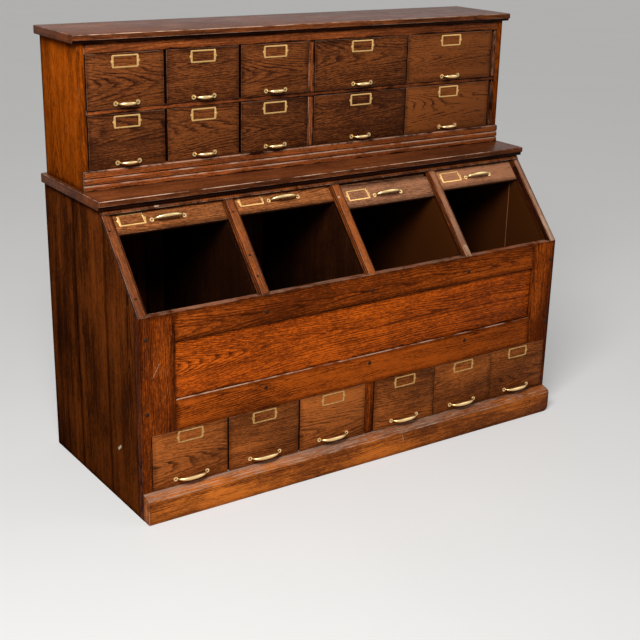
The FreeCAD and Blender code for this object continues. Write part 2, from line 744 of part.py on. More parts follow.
def label_holder(label):
    """A thin frame with a pointed ear at each end, lying on the XY plane."""
    end, ear = "label_length/2", "label_length/2 + label_ear"
    top, window = "label_height/2", "label_height/2 - label_rim"
    rim = [
        (f"-{end}", f"-{top}"),
        (end, f"-{top}"),
        (f"{end} + label_ear/4", f"-{top}/2"),
        (ear, "0"),
        (f"{end} + label_ear/4", f"{top}/2"),
        (end, top),
        (f"-{end}", top),
        (f"-{end} - label_ear/4", f"{top}/2"),
        (f"-({ear})", "0"),
        (f"-{end} - label_ear/4", f"-{top}/2"),
    ]
    opening = [
        (f"-{end} + label_rim", f"-({window})"),
        (f"{end} - label_rim", f"-({window})"),
        (f"{end} - label_rim", window),
        (f"-{end} + label_rim", window),
    ]
    return profile(label, "XY_Plane", "label_thickness", rim, opening)


large_pull = bow_pull("large_pull", size("lower_pull_centres"))
small_pull = bow_pull("small_pull", size("upper_pull_centres"))
holder = label_holder("label_holder")


def drawer_brass(label, pull, pull_height, holder_height):
    """A pull and a label holder on a drawer's front, from the middle of its lower edge."""
    return [
        group(f"{label}_pull", [pull], z=pull_height, tilt="90"),
        group(f"{label}_holder", [holder], z=holder_height, tilt="90"),
    ]


# ---- drawers -----------------------------------------------------------------------------------------
LOWER_TAILS, UPPER_TAILS = 4, 3
PROUD_DRAWERS = (4, 5)


def drawer_box(label, width, tall, deep, tails):
    """A drawer with sides dovetailed into its front, a bottom in grooves and a back between the sides.
    It stands on the XY plane with the middle of its face's lower edge at the origin."""
    face = "drawer_front_thickness"
    low, high = "0", f"{tall} - side_drop"
    outer = f"{width}/2 - box_inset"
    shoulder, tip = face, f"{face} - tail_length"
    pitch = f"({high})/{tails}"
    corners = [(deep, low), (deep, high), (shoulder, high)]
    for i in reversed(range(tails)):
        centre = f"({i} + 0.5)*{pitch}"
        root = f"{pitch}/4"
        corners += [
            (shoulder, f"{centre} + {root}"),
            (tip, f"{centre} + {root} + tail_flare/2"),
            (tip, f"{centre} - {root} - tail_flare/2"),
            (shoulder, f"{centre} - {root}"),
        ]
    corners.append((shoulder, low))
    inner = f"{outer} - drawer_side_thickness"
    bottom = board(
        f"{label}_bottom",
        (f"-({inner}) - bottom_groove", f"{inner} + bottom_groove"),
        (f"{face} - bottom_groove", deep),
        ("drawer_bottom_rise", "drawer_bottom_rise + drawer_bottom_thickness"),
    )
    left = profile(f"{label}_left_blank", "YZ_Plane", "drawer_side_thickness", corners,
                   start=f"-({outer})")
    right = profile(f"{label}_right_blank", "YZ_Plane", "drawer_side_thickness", corners, start=inner)
    front = board(f"{label}_front_blank", (f"-{width}/2", f"{width}/2"), ("0", face), ("0", tall))
    back = board(f"{label}_back", (f"-({inner})", inner), (f"{deep} - drawer_side_thickness", deep),
                 ("drawer_bottom_rise + drawer_bottom_thickness", high))
    return [
        cut(f"{label}_front", front, left, right, bottom),
        cut(f"{label}_left_side", left, bottom),
        cut(f"{label}_right_side", right, bottom),
        bottom,
        back,
    ]


lower_brass = drawer_brass("lower", large_pull, "lower_pull_drop", "lower_label_drop")
number = 0
for side, (width, middles) in lower_banks.items():
    deep = "(case_depth - back_thickness - lower_drawer_play)"
    box = drawer_box(f"{side}_box", width, "lower_drawer_height", deep, LOWER_TAILS)
    for i, middle in enumerate(middles):
        number += 1
        y = "-middle_drawer_stand" if number in PROUD_DRAWERS else "0"
        z = "bay_height + runner_clearance"
        node(f"lower_drawer_{number}", box, x=middle, y=y, z=z)
        node(f"lower_drawer_{number}_brass", lower_brass, x=middle, y=y, z=z)

UPPER_DRAWER_DEPTH = "(upper_depth - back_thickness - upper_drawer_play)"
upper_brass = drawer_brass("upper", small_pull, "upper_pull_drop", "upper_label_drop")
upper_boxes = {
    name: drawer_box(f"{name}_box", width, "upper_drawer_height", UPPER_DRAWER_DEPTH, UPPER_TAILS)
    for name, (width, middles) in upper_banks.items()
}
number = 0
for floor in (ROW_1, ROW_2):
    for name, (width, middles) in upper_banks.items():
        for middle in middles:
            number += 1
            where = {"x": middle, "y": UPPER_FRONT, "z": f"{floor} + runner_clearance"}
            node(f"upper_drawer_{number}", upper_boxes[name], **where)
            node(f"upper_drawer_{number}_brass", upper_brass, **where)

# ---- lids: a board that slides on the slope and a leaf hinged behind it ------------------------------
def rod(label, radius, start, length):
    """A twelve-sided rod along X, centred on the X axis."""
    made = doc.addObject("Part::Prism", label)
    made.Polygon = 12
    made.Placement.Rotation = FreeCAD.Rotation(V(0, 1, 0), 90)
    bind(made, "Circumradius", radius)
    bind(made, "Height", length)
    bind(made, "Placement.Base.x", start)
    return made


def fused(label, *pieces):
    """Pieces that are one."""
    made = doc.addObject("Part::MultiFuse", label)
    made.Shapes = list(pieces)
    return made


HINGE_SHARES = (0.22, 0.78)

# one butt hinge, its pin along X through the origin, for a board below it and a leaf beyond it
knuckle = "(hinge_length/3)"
plate_z = ("0", "hinge_plate_thickness")
plate_reach = "hinge_knuckle_radius/2"
knuckle_room = "(hinge_knuckle_radius + hinge_clearance)"
pin_hole = rod("hinge_pin_hole", "hinge_pin_radius + hinge_clearance", "-hinge_length/2", "hinge_length")
board_plate = board("hinge_board_plate", ("-hinge_length/2", "hinge_length/2"),
                    (f"-{plate_reach} - hinge_plate_width", f"-{plate_reach}"), plate_z)
leaf_plate = board("hinge_leaf_plate", ("-hinge_length/2", "hinge_length/2"),
                   (plate_reach, f"{plate_reach} + hinge_plate_width"), plate_z)
board_seat = board("hinge_board_seat", ("-hinge_length/2", "hinge_length/2"),
                   (f"-{knuckle_room}", "hinge_clearance"), ("0", knuckle_room))
leaf_seat = board("hinge_leaf_seat", ("-hinge_length/2", "hinge_length/2"),
                  ("0", knuckle_room), ("0", knuckle_room))
outer_room = [
    rod(f"hinge_{side}_room", knuckle_room, start, f"{knuckle} + hinge_clearance")
    for side, start in (("left", "-hinge_length/2"), ("right", f"{knuckle}/2 - hinge_clearance"))
]
middle_room = rod("hinge_middle_room", knuckle_room, f"-{knuckle}/2 - hinge_clearance",
                  f"{knuckle} + 2*hinge_clearance")
outer_knuckles = [
    rod(f"hinge_{side}_knuckle", "hinge_knuckle_radius", start, knuckle)
    for side, start in (("left", "-hinge_length/2"), ("right", f"{knuckle}/2"))
]
middle_knuckle = rod("hinge_middle_knuckle", "hinge_knuckle_radius", f"-{knuckle}/2 + hinge_clearance",
                     f"{knuckle} - 2*hinge_clearance")
hinge_pin = rod("hinge_pin", "hinge_pin_radius", "-hinge_length/2", "hinge_length")
board_half = fused("hinge_board_half", cut("hinge_board_flap", board_plate, middle_room),
                   *outer_knuckles, hinge_pin)
leaf_half = cut("hinge_leaf_half", fused("hinge_leaf_flap", cut("hinge_leaf_cut", leaf_plate,
                                                               *outer_room), middle_knuckle), pin_hole)

bin_walls = [f"{LEFT} + side_thickness"]
for centre in DIVIDERS:
    bin_walls += [f"{centre} - divider_core/2", f"{centre} + divider_core/2"]
bin_walls.append(f"{RIGHT} - side_thickness")

for number in (1, 2, 3, 4):
    left, right = bin_walls[2 * number - 2], bin_walls[2 * number - 1]
    hinge_x = [f"({left})*{1 - share} + ({right})*{share}" for share in HINGE_SHARES]
    up = f"{HINGE_OPEN} - lid_{number}_drop"
    pivot_y, pivot_z = slope_point(up, "lid_recess + lid_thickness")
    seat = {"y": pivot_y, "z": pivot_z, "tilt": "slope_angle"}
    front = board(f"lid_{number}_blank", (f"{left} + lid_end_play", f"{right} - lid_end_play"),
                  ("-lid_board_height", "-hinge_gap"), ("0", "lid_thickness"))
    board_seats = [
        group(f"lid_{number}_board_seat_{i}", [board_plate, board_seat], x=x)
        for i, x in enumerate(hinge_x, start=1)
    ]
    node(f"lid_{number}_board", [cut(f"lid_{number}_front", front, *board_seats)], **seat)

    edge = strip_lefts[number - 1]
    pull = group(f"lid_{number}_pull", [large_pull], x=f"{edge} + lid_pull_inset",
                 y="lid_pull_rise - lid_board_height", z="lid_thickness")
    plate = group(f"lid_{number}_holder", [holder], x=f"{edge} + lid_label_inset",
                  y="lid_label_rise - lid_board_height", z="lid_thickness")
    halves = [group(f"lid_{number}_hinge_{i}", [board_half], x=x)
              for i, x in enumerate(hinge_x, start=1)]
    node(f"lid_{number}_brass", [pull, plate, *halves], **seat)

    leaf_left = f"{left} + cheek_thickness + lid_end_play"
    leaf_right = f"{right} - cheek_thickness - lid_end_play"
    leaf = board(f"lid_{number}_rear_leaf", (leaf_left, leaf_right), ("hinge_gap", LEAF_LENGTH),
                 ("0", "lid_thickness"))
    pins = rod(f"lid_{number}_guide_pins", "guide_pin_radius",
               f"{leaf_left} - guide_pin_reach + lid_end_play",
               f"({leaf_right}) - ({leaf_left}) + 2*guide_pin_reach - 2*lid_end_play")
    place(pins, f"{leaf_left} - guide_pin_reach + lid_end_play", f"{LEAF_LENGTH} - guide_pin_inset",
          "lid_thickness/2")
    leaf_seats = [
        group(f"lid_{number}_leaf_seat_{i}", [leaf_plate, leaf_seat], x=x)
        for i, x in enumerate(hinge_x, start=1)
    ]
    bored = cut(f"lid_{number}_bored_leaf", leaf, pins, *leaf_seats)
    halves = [group(f"lid_{number}_leaf_hinge_{i}", [leaf_half], x=x)
              for i, x in enumerate(hinge_x, start=1)]
    turn = f"(slope_angle + leaf_droop)*lid_{number}_drop/{LID_TRAVEL} - leaf_droop"
    node(f"lid_{number}_leaf", [bored, pins, *halves], y=pivot_y, z=pivot_z, tilt=turn)

# ---- checks and files --------------------------------------------------------------------------------
doc.recompute()
for thing in doc.Objects:
    if {"Invalid", "Error"} & set(thing.State):
        raise RuntimeError(f"{thing.Name} did not build: {thing.State}")
for sub_part in NODES:
    if sub_part.Shape.isNull() or not sub_part.Shape.isValid():
        raise RuntimeError(f"{sub_part.Label} has no sound shape")
os.makedirs("parts", exist_ok=True)
for sub_part in NODES:
    sub_part.Shape.exportStep(f"parts/{sub_part.Label}.step")
print(len(NODES), "sub-parts,", sum(len(sub_part.Shape.Solids) for sub_part in NODES), "solids")
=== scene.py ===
import json
import math

import bpy
from mathutils import Euler, Matrix, Vector
from mathutils.bvhtree import BVHTree

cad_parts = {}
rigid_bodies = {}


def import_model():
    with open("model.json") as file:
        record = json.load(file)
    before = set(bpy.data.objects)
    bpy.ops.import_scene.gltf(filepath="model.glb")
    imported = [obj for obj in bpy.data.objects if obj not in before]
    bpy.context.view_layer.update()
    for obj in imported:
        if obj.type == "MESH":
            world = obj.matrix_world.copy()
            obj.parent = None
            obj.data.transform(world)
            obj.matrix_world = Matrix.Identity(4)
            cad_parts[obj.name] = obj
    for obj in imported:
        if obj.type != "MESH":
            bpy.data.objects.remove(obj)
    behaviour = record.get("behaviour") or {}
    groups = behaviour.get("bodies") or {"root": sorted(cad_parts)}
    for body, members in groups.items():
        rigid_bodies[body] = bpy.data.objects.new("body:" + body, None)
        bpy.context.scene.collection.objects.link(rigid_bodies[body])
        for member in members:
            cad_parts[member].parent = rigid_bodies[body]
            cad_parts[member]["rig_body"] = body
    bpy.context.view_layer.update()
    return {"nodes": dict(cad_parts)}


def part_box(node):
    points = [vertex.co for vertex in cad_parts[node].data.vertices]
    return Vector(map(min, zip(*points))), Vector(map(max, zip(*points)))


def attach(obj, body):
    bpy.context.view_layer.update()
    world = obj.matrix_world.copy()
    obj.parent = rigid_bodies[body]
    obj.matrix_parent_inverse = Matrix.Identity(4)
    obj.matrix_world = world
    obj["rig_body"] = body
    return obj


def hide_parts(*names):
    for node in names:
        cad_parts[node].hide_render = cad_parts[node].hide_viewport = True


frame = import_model()

# ---- Camera ----------------------------------------------------------------------------------------
# A long lens to the left of the cabinet and a little above its counter, rolled by about a degree.
lens = bpy.data.cameras.new("camera")
lens.lens = 68.33
camera = bpy.data.objects.new("camera", lens)
heading, tip, roll = (math.radians(angle) for angle in (-34.728, 90 - 19.670, 1.336))
aim = Euler((tip, 0, heading)).to_matrix() @ Matrix.Rotation(roll, 3, "Z")
camera.matrix_world = Matrix.Translation((-1.9420, -2.8275, 1.5738)) @ aim.to_4x4()
bpy.context.scene.collection.objects.link(camera)
bpy.context.scene.camera = camera
bpy.context.scene.view_settings.view_transform = "Standard"


# ---- Studio floor and light ------------------------------------------------------------------------
# A wide, pale, matt floor. A large soft lamp stands to the left of the front, a weaker one to its
# right, and the pale room fills the shadows.
class Wire:
    """One output of a shader node. Arithmetic on it adds Math nodes."""

    def __init__(self, socket):
        self.socket = socket

    def node(self, kind, settings=None, sockets=None, output=0):
        """A node of any type: its settings first, then the links and values of its sockets."""
        made = self.socket.id_data.nodes.new(kind)
        for name, value in (settings or {}).items():
            if name != "stops":
                setattr(made, name, value)
                continue
            stops = made.color_ramp.elements
            stops.remove(stops[1])
            stops[0].position, stops[0].color = value[0][0], (*value[0][1], 1)
            for position, colour in value[1:]:
                stops.new(position).color = (*colour, 1)
        for name, value in (sockets or {}).items():
            if isinstance(value, Wire):
                self.socket.id_data.links.new(value.socket, made.inputs[name])
            else:
                made.inputs[name].default_value = value
        return Wire(made.outputs[output])

    def maths(self, operation, *values):
        """A Math node on this value and any others."""
        return self.node("ShaderNodeMath", {"operation": operation}, dict(enumerate((self, *values))))

    def __add__(self, other):
        return self.maths("ADD", other)

    def __sub__(self, other):
        return self.maths("SUBTRACT", other)

    def __mul__(self, other):
        return self.maths("MULTIPLY", other)

    def __truediv__(self, other):
        return self.maths("DIVIDE", other)

    def __rsub__(self, other):
        return self * -1 + other

    __radd__ = __add__
    __rmul__ = __mul__

    def rise(self, low, high):
        """0 below low, 1 above high and a smooth step between them; high may be the lower."""
        return self.node("ShaderNodeMapRange", {"interpolation_type": "SMOOTHSTEP"},
                         {"Value": self, "From Min": low, "From Max": high})

    def stretched(self, *factors):
        """This vector with its X, Y and Z multiplied."""
        return self.node("ShaderNodeVectorMath", {"operation": "MULTIPLY"}, {0: self, 1: factors})

    def moved(self, amount, direction):
        """This vector moved by a varying amount along a direction."""
        step = self.node("ShaderNodeVectorMath", {"operation": "SCALE"}, {0: direction, "Scale": amount})
        return self.node("ShaderNodeVectorMath", {"operation": "ADD"}, {0: self, 1: step})

    def parts(self):
        """This vector's X, Y and Z."""
        return [self.node("ShaderNodeSeparateXYZ", {}, {0: self}, output=i) for i in range(3)]

    def noise(self, scale=1.0, detail=2.0, roughness=0.5):
        """Noise from 0 to 1 over this vector."""
        return self.node("ShaderNodeTexNoise", {},
                         {"Vector": self, "Scale": scale, "Detail": detail, "Roughness": roughness})

    def blend(self, under, over, kind="MIX"):
        """Two colours mixed by this value."""
        settings = {"data_type": "RGBA", "blend_type": kind, "clamp_factor": True}
        return self.node("ShaderNodeMix", settings, {0: self, 6: under, 7: over}, output=2)


def bare_material(name, **finish):
    """A material with one Principled shader, its constants set, and a wire to build from."""
    material = bpy.data.materials.new(name)
    material.use_nodes = True
    shader = material.node_tree.nodes["Principled BSDF"]
    for socket, value in finish.items():
        shader.inputs[socket.replace("_", " ")].default_value = value
    return material, shader, Wire(shader.outputs["BSDF"])


def feed(shader, **wires):
    """Links wires to a shader's sockets."""
    for socket, wire in wires.items():
        wire.socket.id_data.links.new(wire.socket, shader.inputs[socket.replace("_", " ")])


def seen_directly(nodes):
    """1 for rays from the camera and for mirrored and transmitted ones, and 0 for those that light."""
    rays = nodes.new("ShaderNodeLightPath").outputs
    seen = Wire(rays["Is Camera Ray"])
    for kind in ("Is Glossy Ray", "Is Transmission Ray"):
        seen = seen.maths("MAXIMUM", Wire(rays[kind]))
    return seen


FLOOR_SPAN = 60.0
bpy.ops.object.select_all(action="DESELECT")
bpy.ops.mesh.primitive_plane_add(size=FLOOR_SPAN)
floor = bpy.context.object
floor.name = "studio_floor"
floor_paint, floor_shader, wire = bare_material("pale floor", Roughness=0.9, Specular_IOR_Level=0.2)
mottle = wire.node("ShaderNodeTexCoord", output=3).noise(1.5, detail=3)
floor_shader.inputs["Emission Strength"].default_value = 1.0
feed(floor_shader, Base_Color=mottle.blend((0.44, 0.435, 0.425, 1), (0.48, 0.475, 0.465, 1)),
     Emission_Color=seen_directly(floor_paint.node_tree.nodes).blend((0, 0, 0, 1), (0.30, 0.298, 0.294, 1)))
floor.data.materials.append(floor_paint)

world = bpy.data.worlds.new("studio")
world.use_nodes = True
bpy.context.scene.world = world
ROOM_LIGHT, ROOM_COLOUR = (0.22, 0.22, 0.22, 1), (0.78, 0.775, 0.765, 1)
room_wire = seen_directly(world.node_tree.nodes).blend(ROOM_LIGHT, ROOM_COLOUR)
room = world.node_tree.nodes["Background"]
world.node_tree.links.new(room_wire.socket, room.inputs["Color"])


CABINET_MIDDLE = Vector((0, 0, 0.6))


def lamp(name, azimuth, elevation, distance, span, watts):
    """A square soft lamp aimed at the middle of the cabinet. Azimuth 0 is straight in front, and a
    positive one is to the left."""
    light = bpy.data.lights.new(name, "AREA")
    light.shape, light.size, light.energy = "SQUARE", span, watts
    lamp_object = bpy.data.objects.new(name, light)
    side, up = math.radians(azimuth), math.radians(elevation)
    away = Vector((-math.sin(side) * math.cos(up), -math.cos(side) * math.cos(up), math.sin(up)))
    lamp_object.matrix_world = (Matrix.Translation(CABINET_MIDDLE + away * distance)
                                @ away.to_track_quat("Z", "Y").to_matrix().to_4x4())
    bpy.context.scene.collection.objects.link(lamp_object)


lamp("main_lamp", 46, 40, 3.4, 1.2, 128)
lamp("side_lamp", -48, 34, 4.4, 1.8, 18)


# ---- Front frame -----------------------------------------------------------------------------------
# Two notched stiles, a deep top rail, a bottom rail, a base rail and the post between the drawers.
# They are plain-sawn oak, mortised and tenoned together, stained red-brown and varnished, and held
# by brass screws gone black.
BOARD_GAP = 4.0
MERGE_DISTANCE, FLAT_ANGLE, ARRIS_ANGLE, SMOOTH_ANGLE = 0.00002, 1, 30, 35


def split_boards(mesh):
    """The board that each vertex of a node belongs to, and each board's triangles. The triangles
    come board by board, and a board ends where its surface closes."""
    number, open_edges, triangles = 0, {}, {}
    owner = [0] * len(mesh.vertices)
    for triangle in mesh.polygons:
        triangles.setdefault(number, []).append(tuple(triangle.vertices))
        corners = [tuple(round(c * 1e6) for c in mesh.vertices[i].co) for i in triangle.vertices]
        for i in triangle.vertices:
            owner[i] = number
        for start, end in zip(corners, corners[1:] + corners[:1]):
            if open_edges.get((end, start)):
                open_edges[end, start] -= 1
            elif start != end:
                open_edges[start, end] = open_edges.get((start, end), 0) + 1
        number += not any(open_edges.values())
    return owner, triangles


def worn_apart(piece, owner, arris, levels, keep):
    """Moves the boards of a piece apart, so that those which touch stay separate, merges each one,
    cuts it at some levels and wears its arrises round. With keep, only those boards stay. Gives the
    vertices of each board, moved back."""
    mesh = piece.data
    for vertex, board in zip(mesh.vertices, owner):
        vertex.co.x += board * BOARD_GAP
    bpy.ops.object.select_all(action="DESELECT")
    piece.select_set(True)
    bpy.context.view_layer.objects.active = piece
    bpy.ops.object.mode_set(mode="EDIT")
    if keep is not None:
        bpy.ops.mesh.select_all(action="DESELECT")
        bpy.ops.object.mode_set(mode="OBJECT")
        for triangle in mesh.polygons:
            triangle.select = owner[triangle.vertices[0]] not in keep
        bpy.ops.object.mode_set(mode="EDIT")
        bpy.ops.mesh.delete(type="FACE")
    bpy.ops.mesh.select_all(action="SELECT")
    bpy.ops.mesh.remove_doubles(threshold=MERGE_DISTANCE)
    bpy.ops.mesh.dissolve_limited(angle_limit=math.radians(FLAT_ANGLE))
    for level in levels:
        bpy.ops.mesh.select_all(action="SELECT")
        bpy.ops.mesh.bisect(plane_co=(0, 0, level), plane_no=(0, 0, 1))
    bpy.ops.object.mode_set(mode="OBJECT")
    worn_edges = piece.modifiers.new("worn edges", "BEVEL")
    worn_edges.width, worn_edges.segments = arris, 2
    worn_edges.angle_limit, worn_edges.material = math.radians(ARRIS_ANGLE), 1
    bpy.ops.object.modifier_apply(modifier=worn_edges.name)
    bpy.ops.object.shade_smooth_by_angle(angle=math.radians(SMOOTH_ANGLE))
    members = {}
    for vertex in mesh.vertices:
        board = round(vertex.co.x / BOARD_GAP)
        vertex.co.x -= board * BOARD_GAP
        members.setdefault(board, []).append(vertex.index)
    return members


FIRST_LOT, LOT_STEP, TONE_STEP, TONE_SPREAD = 0.37, 0.618034, 5.3, 0.5
boards_made = 0


def grain_of(mesh, members, tilt, grain, tones):
    """For every vertex: its place on its board with the grain first, the board's half sizes, and the
    numbers of its figure and its tone."""
    global boards_made
    upright = Matrix.Rotation(-tilt, 3, "X")
    count = len(mesh.vertices)
    spots, reaches, lots, shades = [None] * count, [None] * count, [0.0] * count, [0.0] * count
    for board, indices in members.items():
        turned = [upright @ mesh.vertices[i].co for i in indices]
        low = [min(place[axis] for place in turned) for axis in range(3)]
        high = [max(place[axis] for place in turned) for axis in range(3)]
        order = sorted(range(3), key=lambda axis: low[axis] - high[axis])
        if grain is not None:
            order.sort(key=lambda axis: axis != grain)
        lot = (boards_made * LOT_STEP + FIRST_LOT) % 1
        boards_made += 1
        shade = tones[board] if board < len(tones) else (lot * TONE_STEP % 1 - 0.5) * TONE_SPREAD
        for i, place in zip(indices, turned):
            spots[i] = [place[axis] - (low[axis] + high[axis]) / 2 for axis in order]
            reaches[i] = [(high[axis] - low[axis]) / 2 for axis in order]
            lots[i], shades[i] = lot, shade
    return spots, reaches, lots, shades


def boards(name, *finishes, arris=0.0009, tilt=0.0, grain=None, tones=(), framed=False,
           wear_and_highlight=None, soot=None, keep=None, slot="oak"):
    """A copy of a node made of boards, its arrises worn round. The first board takes the first finish
    and the others the last one. Grain runs along the longest side of a board that has been turned
    back by tilt, or along the given axis. Framed boards are cut at each other's levels. From a face's
    middle and its normal, the rubbing function says how much it is rubbed bare or given a painted
    highlight, where an arris has 1, and the darkening function how thick the dirt and painted shade on it
    are."""
    mesh = frame["nodes"][name].data.copy()
    piece = bpy.data.objects.new(f"{name}_{slot}", mesh)
    bpy.context.scene.collection.objects.link(piece)
    mesh.materials.clear()
    for finish in (finishes[0], finishes[-1]):
        mesh.materials.append(finish)
    owner, triangles = split_boards(mesh)
    places = [vertex.co.copy() for vertex in mesh.vertices]
    trees = {board: BVHTree.FromPolygons(places, faces) for board, faces in triangles.items()}
    levels = sorted({round(place.z, 4) for place in places})[1:-1] if framed else ()
    members = worn_apart(piece, owner, arris, levels, keep)

    # arrises in a joint are dirty, undersides take a painted shade, and neither is rubbed or highlit
    home = {i: board for board, indices in members.items() for i in indices}
    worn, sooty, upper = [], [], []
    for face in mesh.polygons:
        board = home[face.vertices[0]]
        in_joint = face.material_index == 1 and any(
            tree.find_nearest(face.center, arris * 1.3)[0] is not None
            for other, tree in trees.items() if other != board)
        strength = max(face.material_index, wear_and_highlight(face.center, face.normal) if wear_and_highlight else 0)
        darkened = soot(face.center, face.normal) if soot else 0.0
        worn.append(float(strength * (not in_joint and face.normal.z > -0.5 and darkened < 0.5)))
        # upward faces are marked for dust and a painted sheen; downward ones darken by how far they face
        # down, a painted shade
        upper.append(max(0.0, face.normal.z) * (darkened < 0.5))
        sooty.append(1.0 if in_joint else max(0.0, -face.normal.z, darkened))
        face.material_index = min(board, 1)

    spots, reaches, lots, shades = grain_of(mesh, members, tilt, grain, tones)
    for label, kind, domain, values in (
        ("board", "FLOAT_VECTOR", "POINT", [c for spot in spots for c in spot]),
        ("reach", "FLOAT_VECTOR", "POINT", [c for reach in reaches for c in reach]),
        ("lot", "FLOAT", "POINT", lots),
        ("tone", "FLOAT", "POINT", shades),
        ("worn", "FLOAT", "FACE", worn),
        ("sooty", "FLOAT", "FACE", sooty),
        ("upper", "FLOAT", "FACE", upper),
    ):
        layer = mesh.attributes.new(label, kind, domain)
        layer.data.foreach_set("vector" if kind == "FLOAT_VECTOR" else "value", values)
    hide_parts(name)
    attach(piece, frame["nodes"][name]["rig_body"])


DIRT_AND_SHADE_COLOUR = (0.11, 0.08, 0.06, 1)
MEAN_GRAIN, MEAN_DEPTH = 0.21, 0.46


def oak(name, pale, dark, rings=0.0045, figure=1.0, fade=0.6, streaks=1.0, grime_and_shade=0.6,
        grime_and_shade_span=(0.016, 0.0), wear=0.6, bare=(0.26, 0.12, 0.06), dust_and_sheen=0.0, knocks=(), holes=(),
        bold=1.0, slant=0.0, blotches=1.0, polish=0.42, gloss=0.03):
    """Stained and varnished oak. Rings run round a pith that leans out of each board, so that its
    faces show arches or straight lines; pores lie in the early part of each ring. Figure is how far
    the pith leans, fade how soon the lean ends, bold the contrast of the grain, and slant the change
    of tone along a board. Dirt and a painted shade gather within a span of the edges, and the
    arrises are rubbed bare, some with a painted highlight. Upward faces can take grey scuffs of dust
    and a painted sheen. Knocks and holes are lines: a start, an end and half their width. A knock
    with a strength is broken up by the grain, and one without is a clean chip or scratch."""
    material, shader, wire = bare_material(name, Specular_IOR_Level=gloss)
    spot = wire.node("ShaderNodeAttribute", {"attribute_name": "board"}, output="Vector")
    reach = wire.node("ShaderNodeAttribute", {"attribute_name": "reach"}, output="Vector")
    lot, tone, worn, sooty, upper = (
        wire.node("ShaderNodeAttribute", {"attribute_name": label}, output="Fac")
        for label in ("lot", "tone", "worn", "sooty", "upper"))
    own = spot.moved(lot, (31.0, 17.0, 23.0))

    def waves(along_grain, across_grain, **kind):
        """Noise with so many waves to the metre along and across the grain."""
        return own.stretched(along_grain, across_grain, across_grain).noise(**kind)

    # rings
    along, across, through = spot.parts()
    second_lot, third_lot = (lot * 7.31).maths("FRACT"), (lot * 13.77).maths("FRACT")
    wander = waves(2.2, 9, detail=3) - 0.5
    sideways = across - (second_lot - 0.5) * (0.30 - 0.2 * min(figure, 1.2)) + wander * 0.05
    depth = through + third_lot * 0.06 + 0.015 + wander * 0.02
    lean = 1 - ((along + reach.parts()[0]) * (-1 / fade)).maths("EXPONENT")
    distance = (sideways * sideways + depth * depth).maths("SQRT") + lean * (0.10 * figure * fade)
    years = waves(1.5, 16) * 3 + waves(4, 60, detail=3) * 1.3
    ring = (distance / rings + years).maths("FRACT")
    early = ring.rise(0.60, 0.0) * ring.rise(0.0, 0.08) * waves(2.5, 45).rise(0.2, 0.75)

    # pores, flecks, fibres, stain streaks and blotches
    pores = waves(30, 700, detail=1).rise(0.48, 0.60)
    flecks = waves(26, 330, detail=3, roughness=0.7).rise(0.48, 0.64)
    fibres = waves(12, 330, detail=3, roughness=0.7) - 0.5
    specks = waves(90, 260, detail=2, roughness=0.7) - 0.5
    streak = waves(1.7, 42, detail=5, roughness=0.65) - 0.5
    blotch = waves(2.6, 6, detail=3) - 0.5
    cloud = waves(9, 14, detail=4, roughness=0.6) - 0.5

    # how deep the stain looks: 0 is the pale colour, 1 the dark one
    grained = early * 0.44 + early * flecks * 0.36 + pores * 0.08 + flecks * 0.12 + specks * 0.8
    stained = streak * (0.8 * streaks) + blotch * (0.7 * blotches) + cloud * 0.6 + along * slant
    deep = (grained - MEAN_GRAIN) * bold + fibres * 0.8 + stained - tone + MEAN_DEPTH
    middle = [(a * b) ** 0.5 for a, b in zip(pale, dark)]
    colour = deep.node("ShaderNodeValToRGB", {"stops": [(0.0, pale), (0.5, middle), (1.0, dark)]},
                       {0: deep})

    # distance from the nearest arris: the middle one of the three distances to the board's faces
    inset = spot.node("ShaderNodeVectorMath", {"operation": "ABSOLUTE"}, {0: spot})
    inset = inset.node("ShaderNodeVectorMath", {"operation": "SUBTRACT"}, {0: reach, 1: inset})
    x, y, z = inset.parts()
    least, most = (x.maths(pick, y).maths(pick, z) for pick in ("MINIMUM", "MAXIMUM"))
    edge = x + y + z - least - most
    smudge = waves(14, 30, detail=4, roughness=0.65)
    # dirt and a painted shade darken a band along the edges, where boards meet
    dirt = ((edge + (smudge - 0.5) * 0.02).rise(*grime_and_shade_span) * grime_and_shade).maths("MAXIMUM", sooty)
    marks = {"dirt": dirt, "bare": worn * smudge.rise(0.36, 0.62) * wear}
    place = wire.node("ShaderNodeTexCoord", output=3)
    for kind, lines in (("dirt", holes), ("bare", knocks)):
        for start, end, half_width, *strength in lines:
            way = Vector(end) - Vector(start)
            off = place.node("ShaderNodeVectorMath", {"operation": "SUBTRACT"}, {0: place, 1: start})
            share = off.node("ShaderNodeVectorMath", {"operation": "DOT_PRODUCT"},
                             {0: off, 1: way / way.length_squared}, output=1)
            share = share.maths("MAXIMUM", 0.0).maths("MINIMUM", 1.0) * -1
            far = off.moved(share, way)
            far = far.node("ShaderNodeVectorMath", {"operation": "LENGTH"}, {0: far}, output=1)
            mark = (far / half_width + (smudge - 0.5) * 1.5).rise(1.1, 0.6)
            if strength:
                mark = mark * streak.rise(-0.12, 0.04) * (1 - flecks * 0.6) * strength[0]
            marks[kind] = mark.maths("MAXIMUM", marks[kind])
    dirt, rubbed = marks["dirt"], marks["bare"]
    colour = dirt.blend(colour, DIRT_AND_SHADE_COLOUR, "MULTIPLY")

    # bare arrises and knocks, painted highlights where faces are marked so, and grey scuffs of dust with a
    # painted sheen on upward tops
    if dust_and_sheen:
        scuffs_and_sheen = (streak * 1.6 + blotch + flecks * 0.5).rise(-0.15, 0.5)
        rubbed = rubbed.maths("MAXIMUM", upper * scuffs_and_sheen * dust_and_sheen)
    colour = rubbed.blend(colour, (*bare, 1))

    rough = polish + pores * early * 0.2 + (smudge - 0.5) * 0.25 + rubbed * 0.1 + dirt * 0.1
    relief = fibres * 0.5 - early * pores * 0.8 - early * 0.25 - flecks * 0.3
    bump = relief.node("ShaderNodeBump", {}, {"Strength": 0.35, "Distance": 0.0006, "Height": relief})
    feed(shader, Base_Color=colour, Roughness=rough, Normal=bump)
    return material


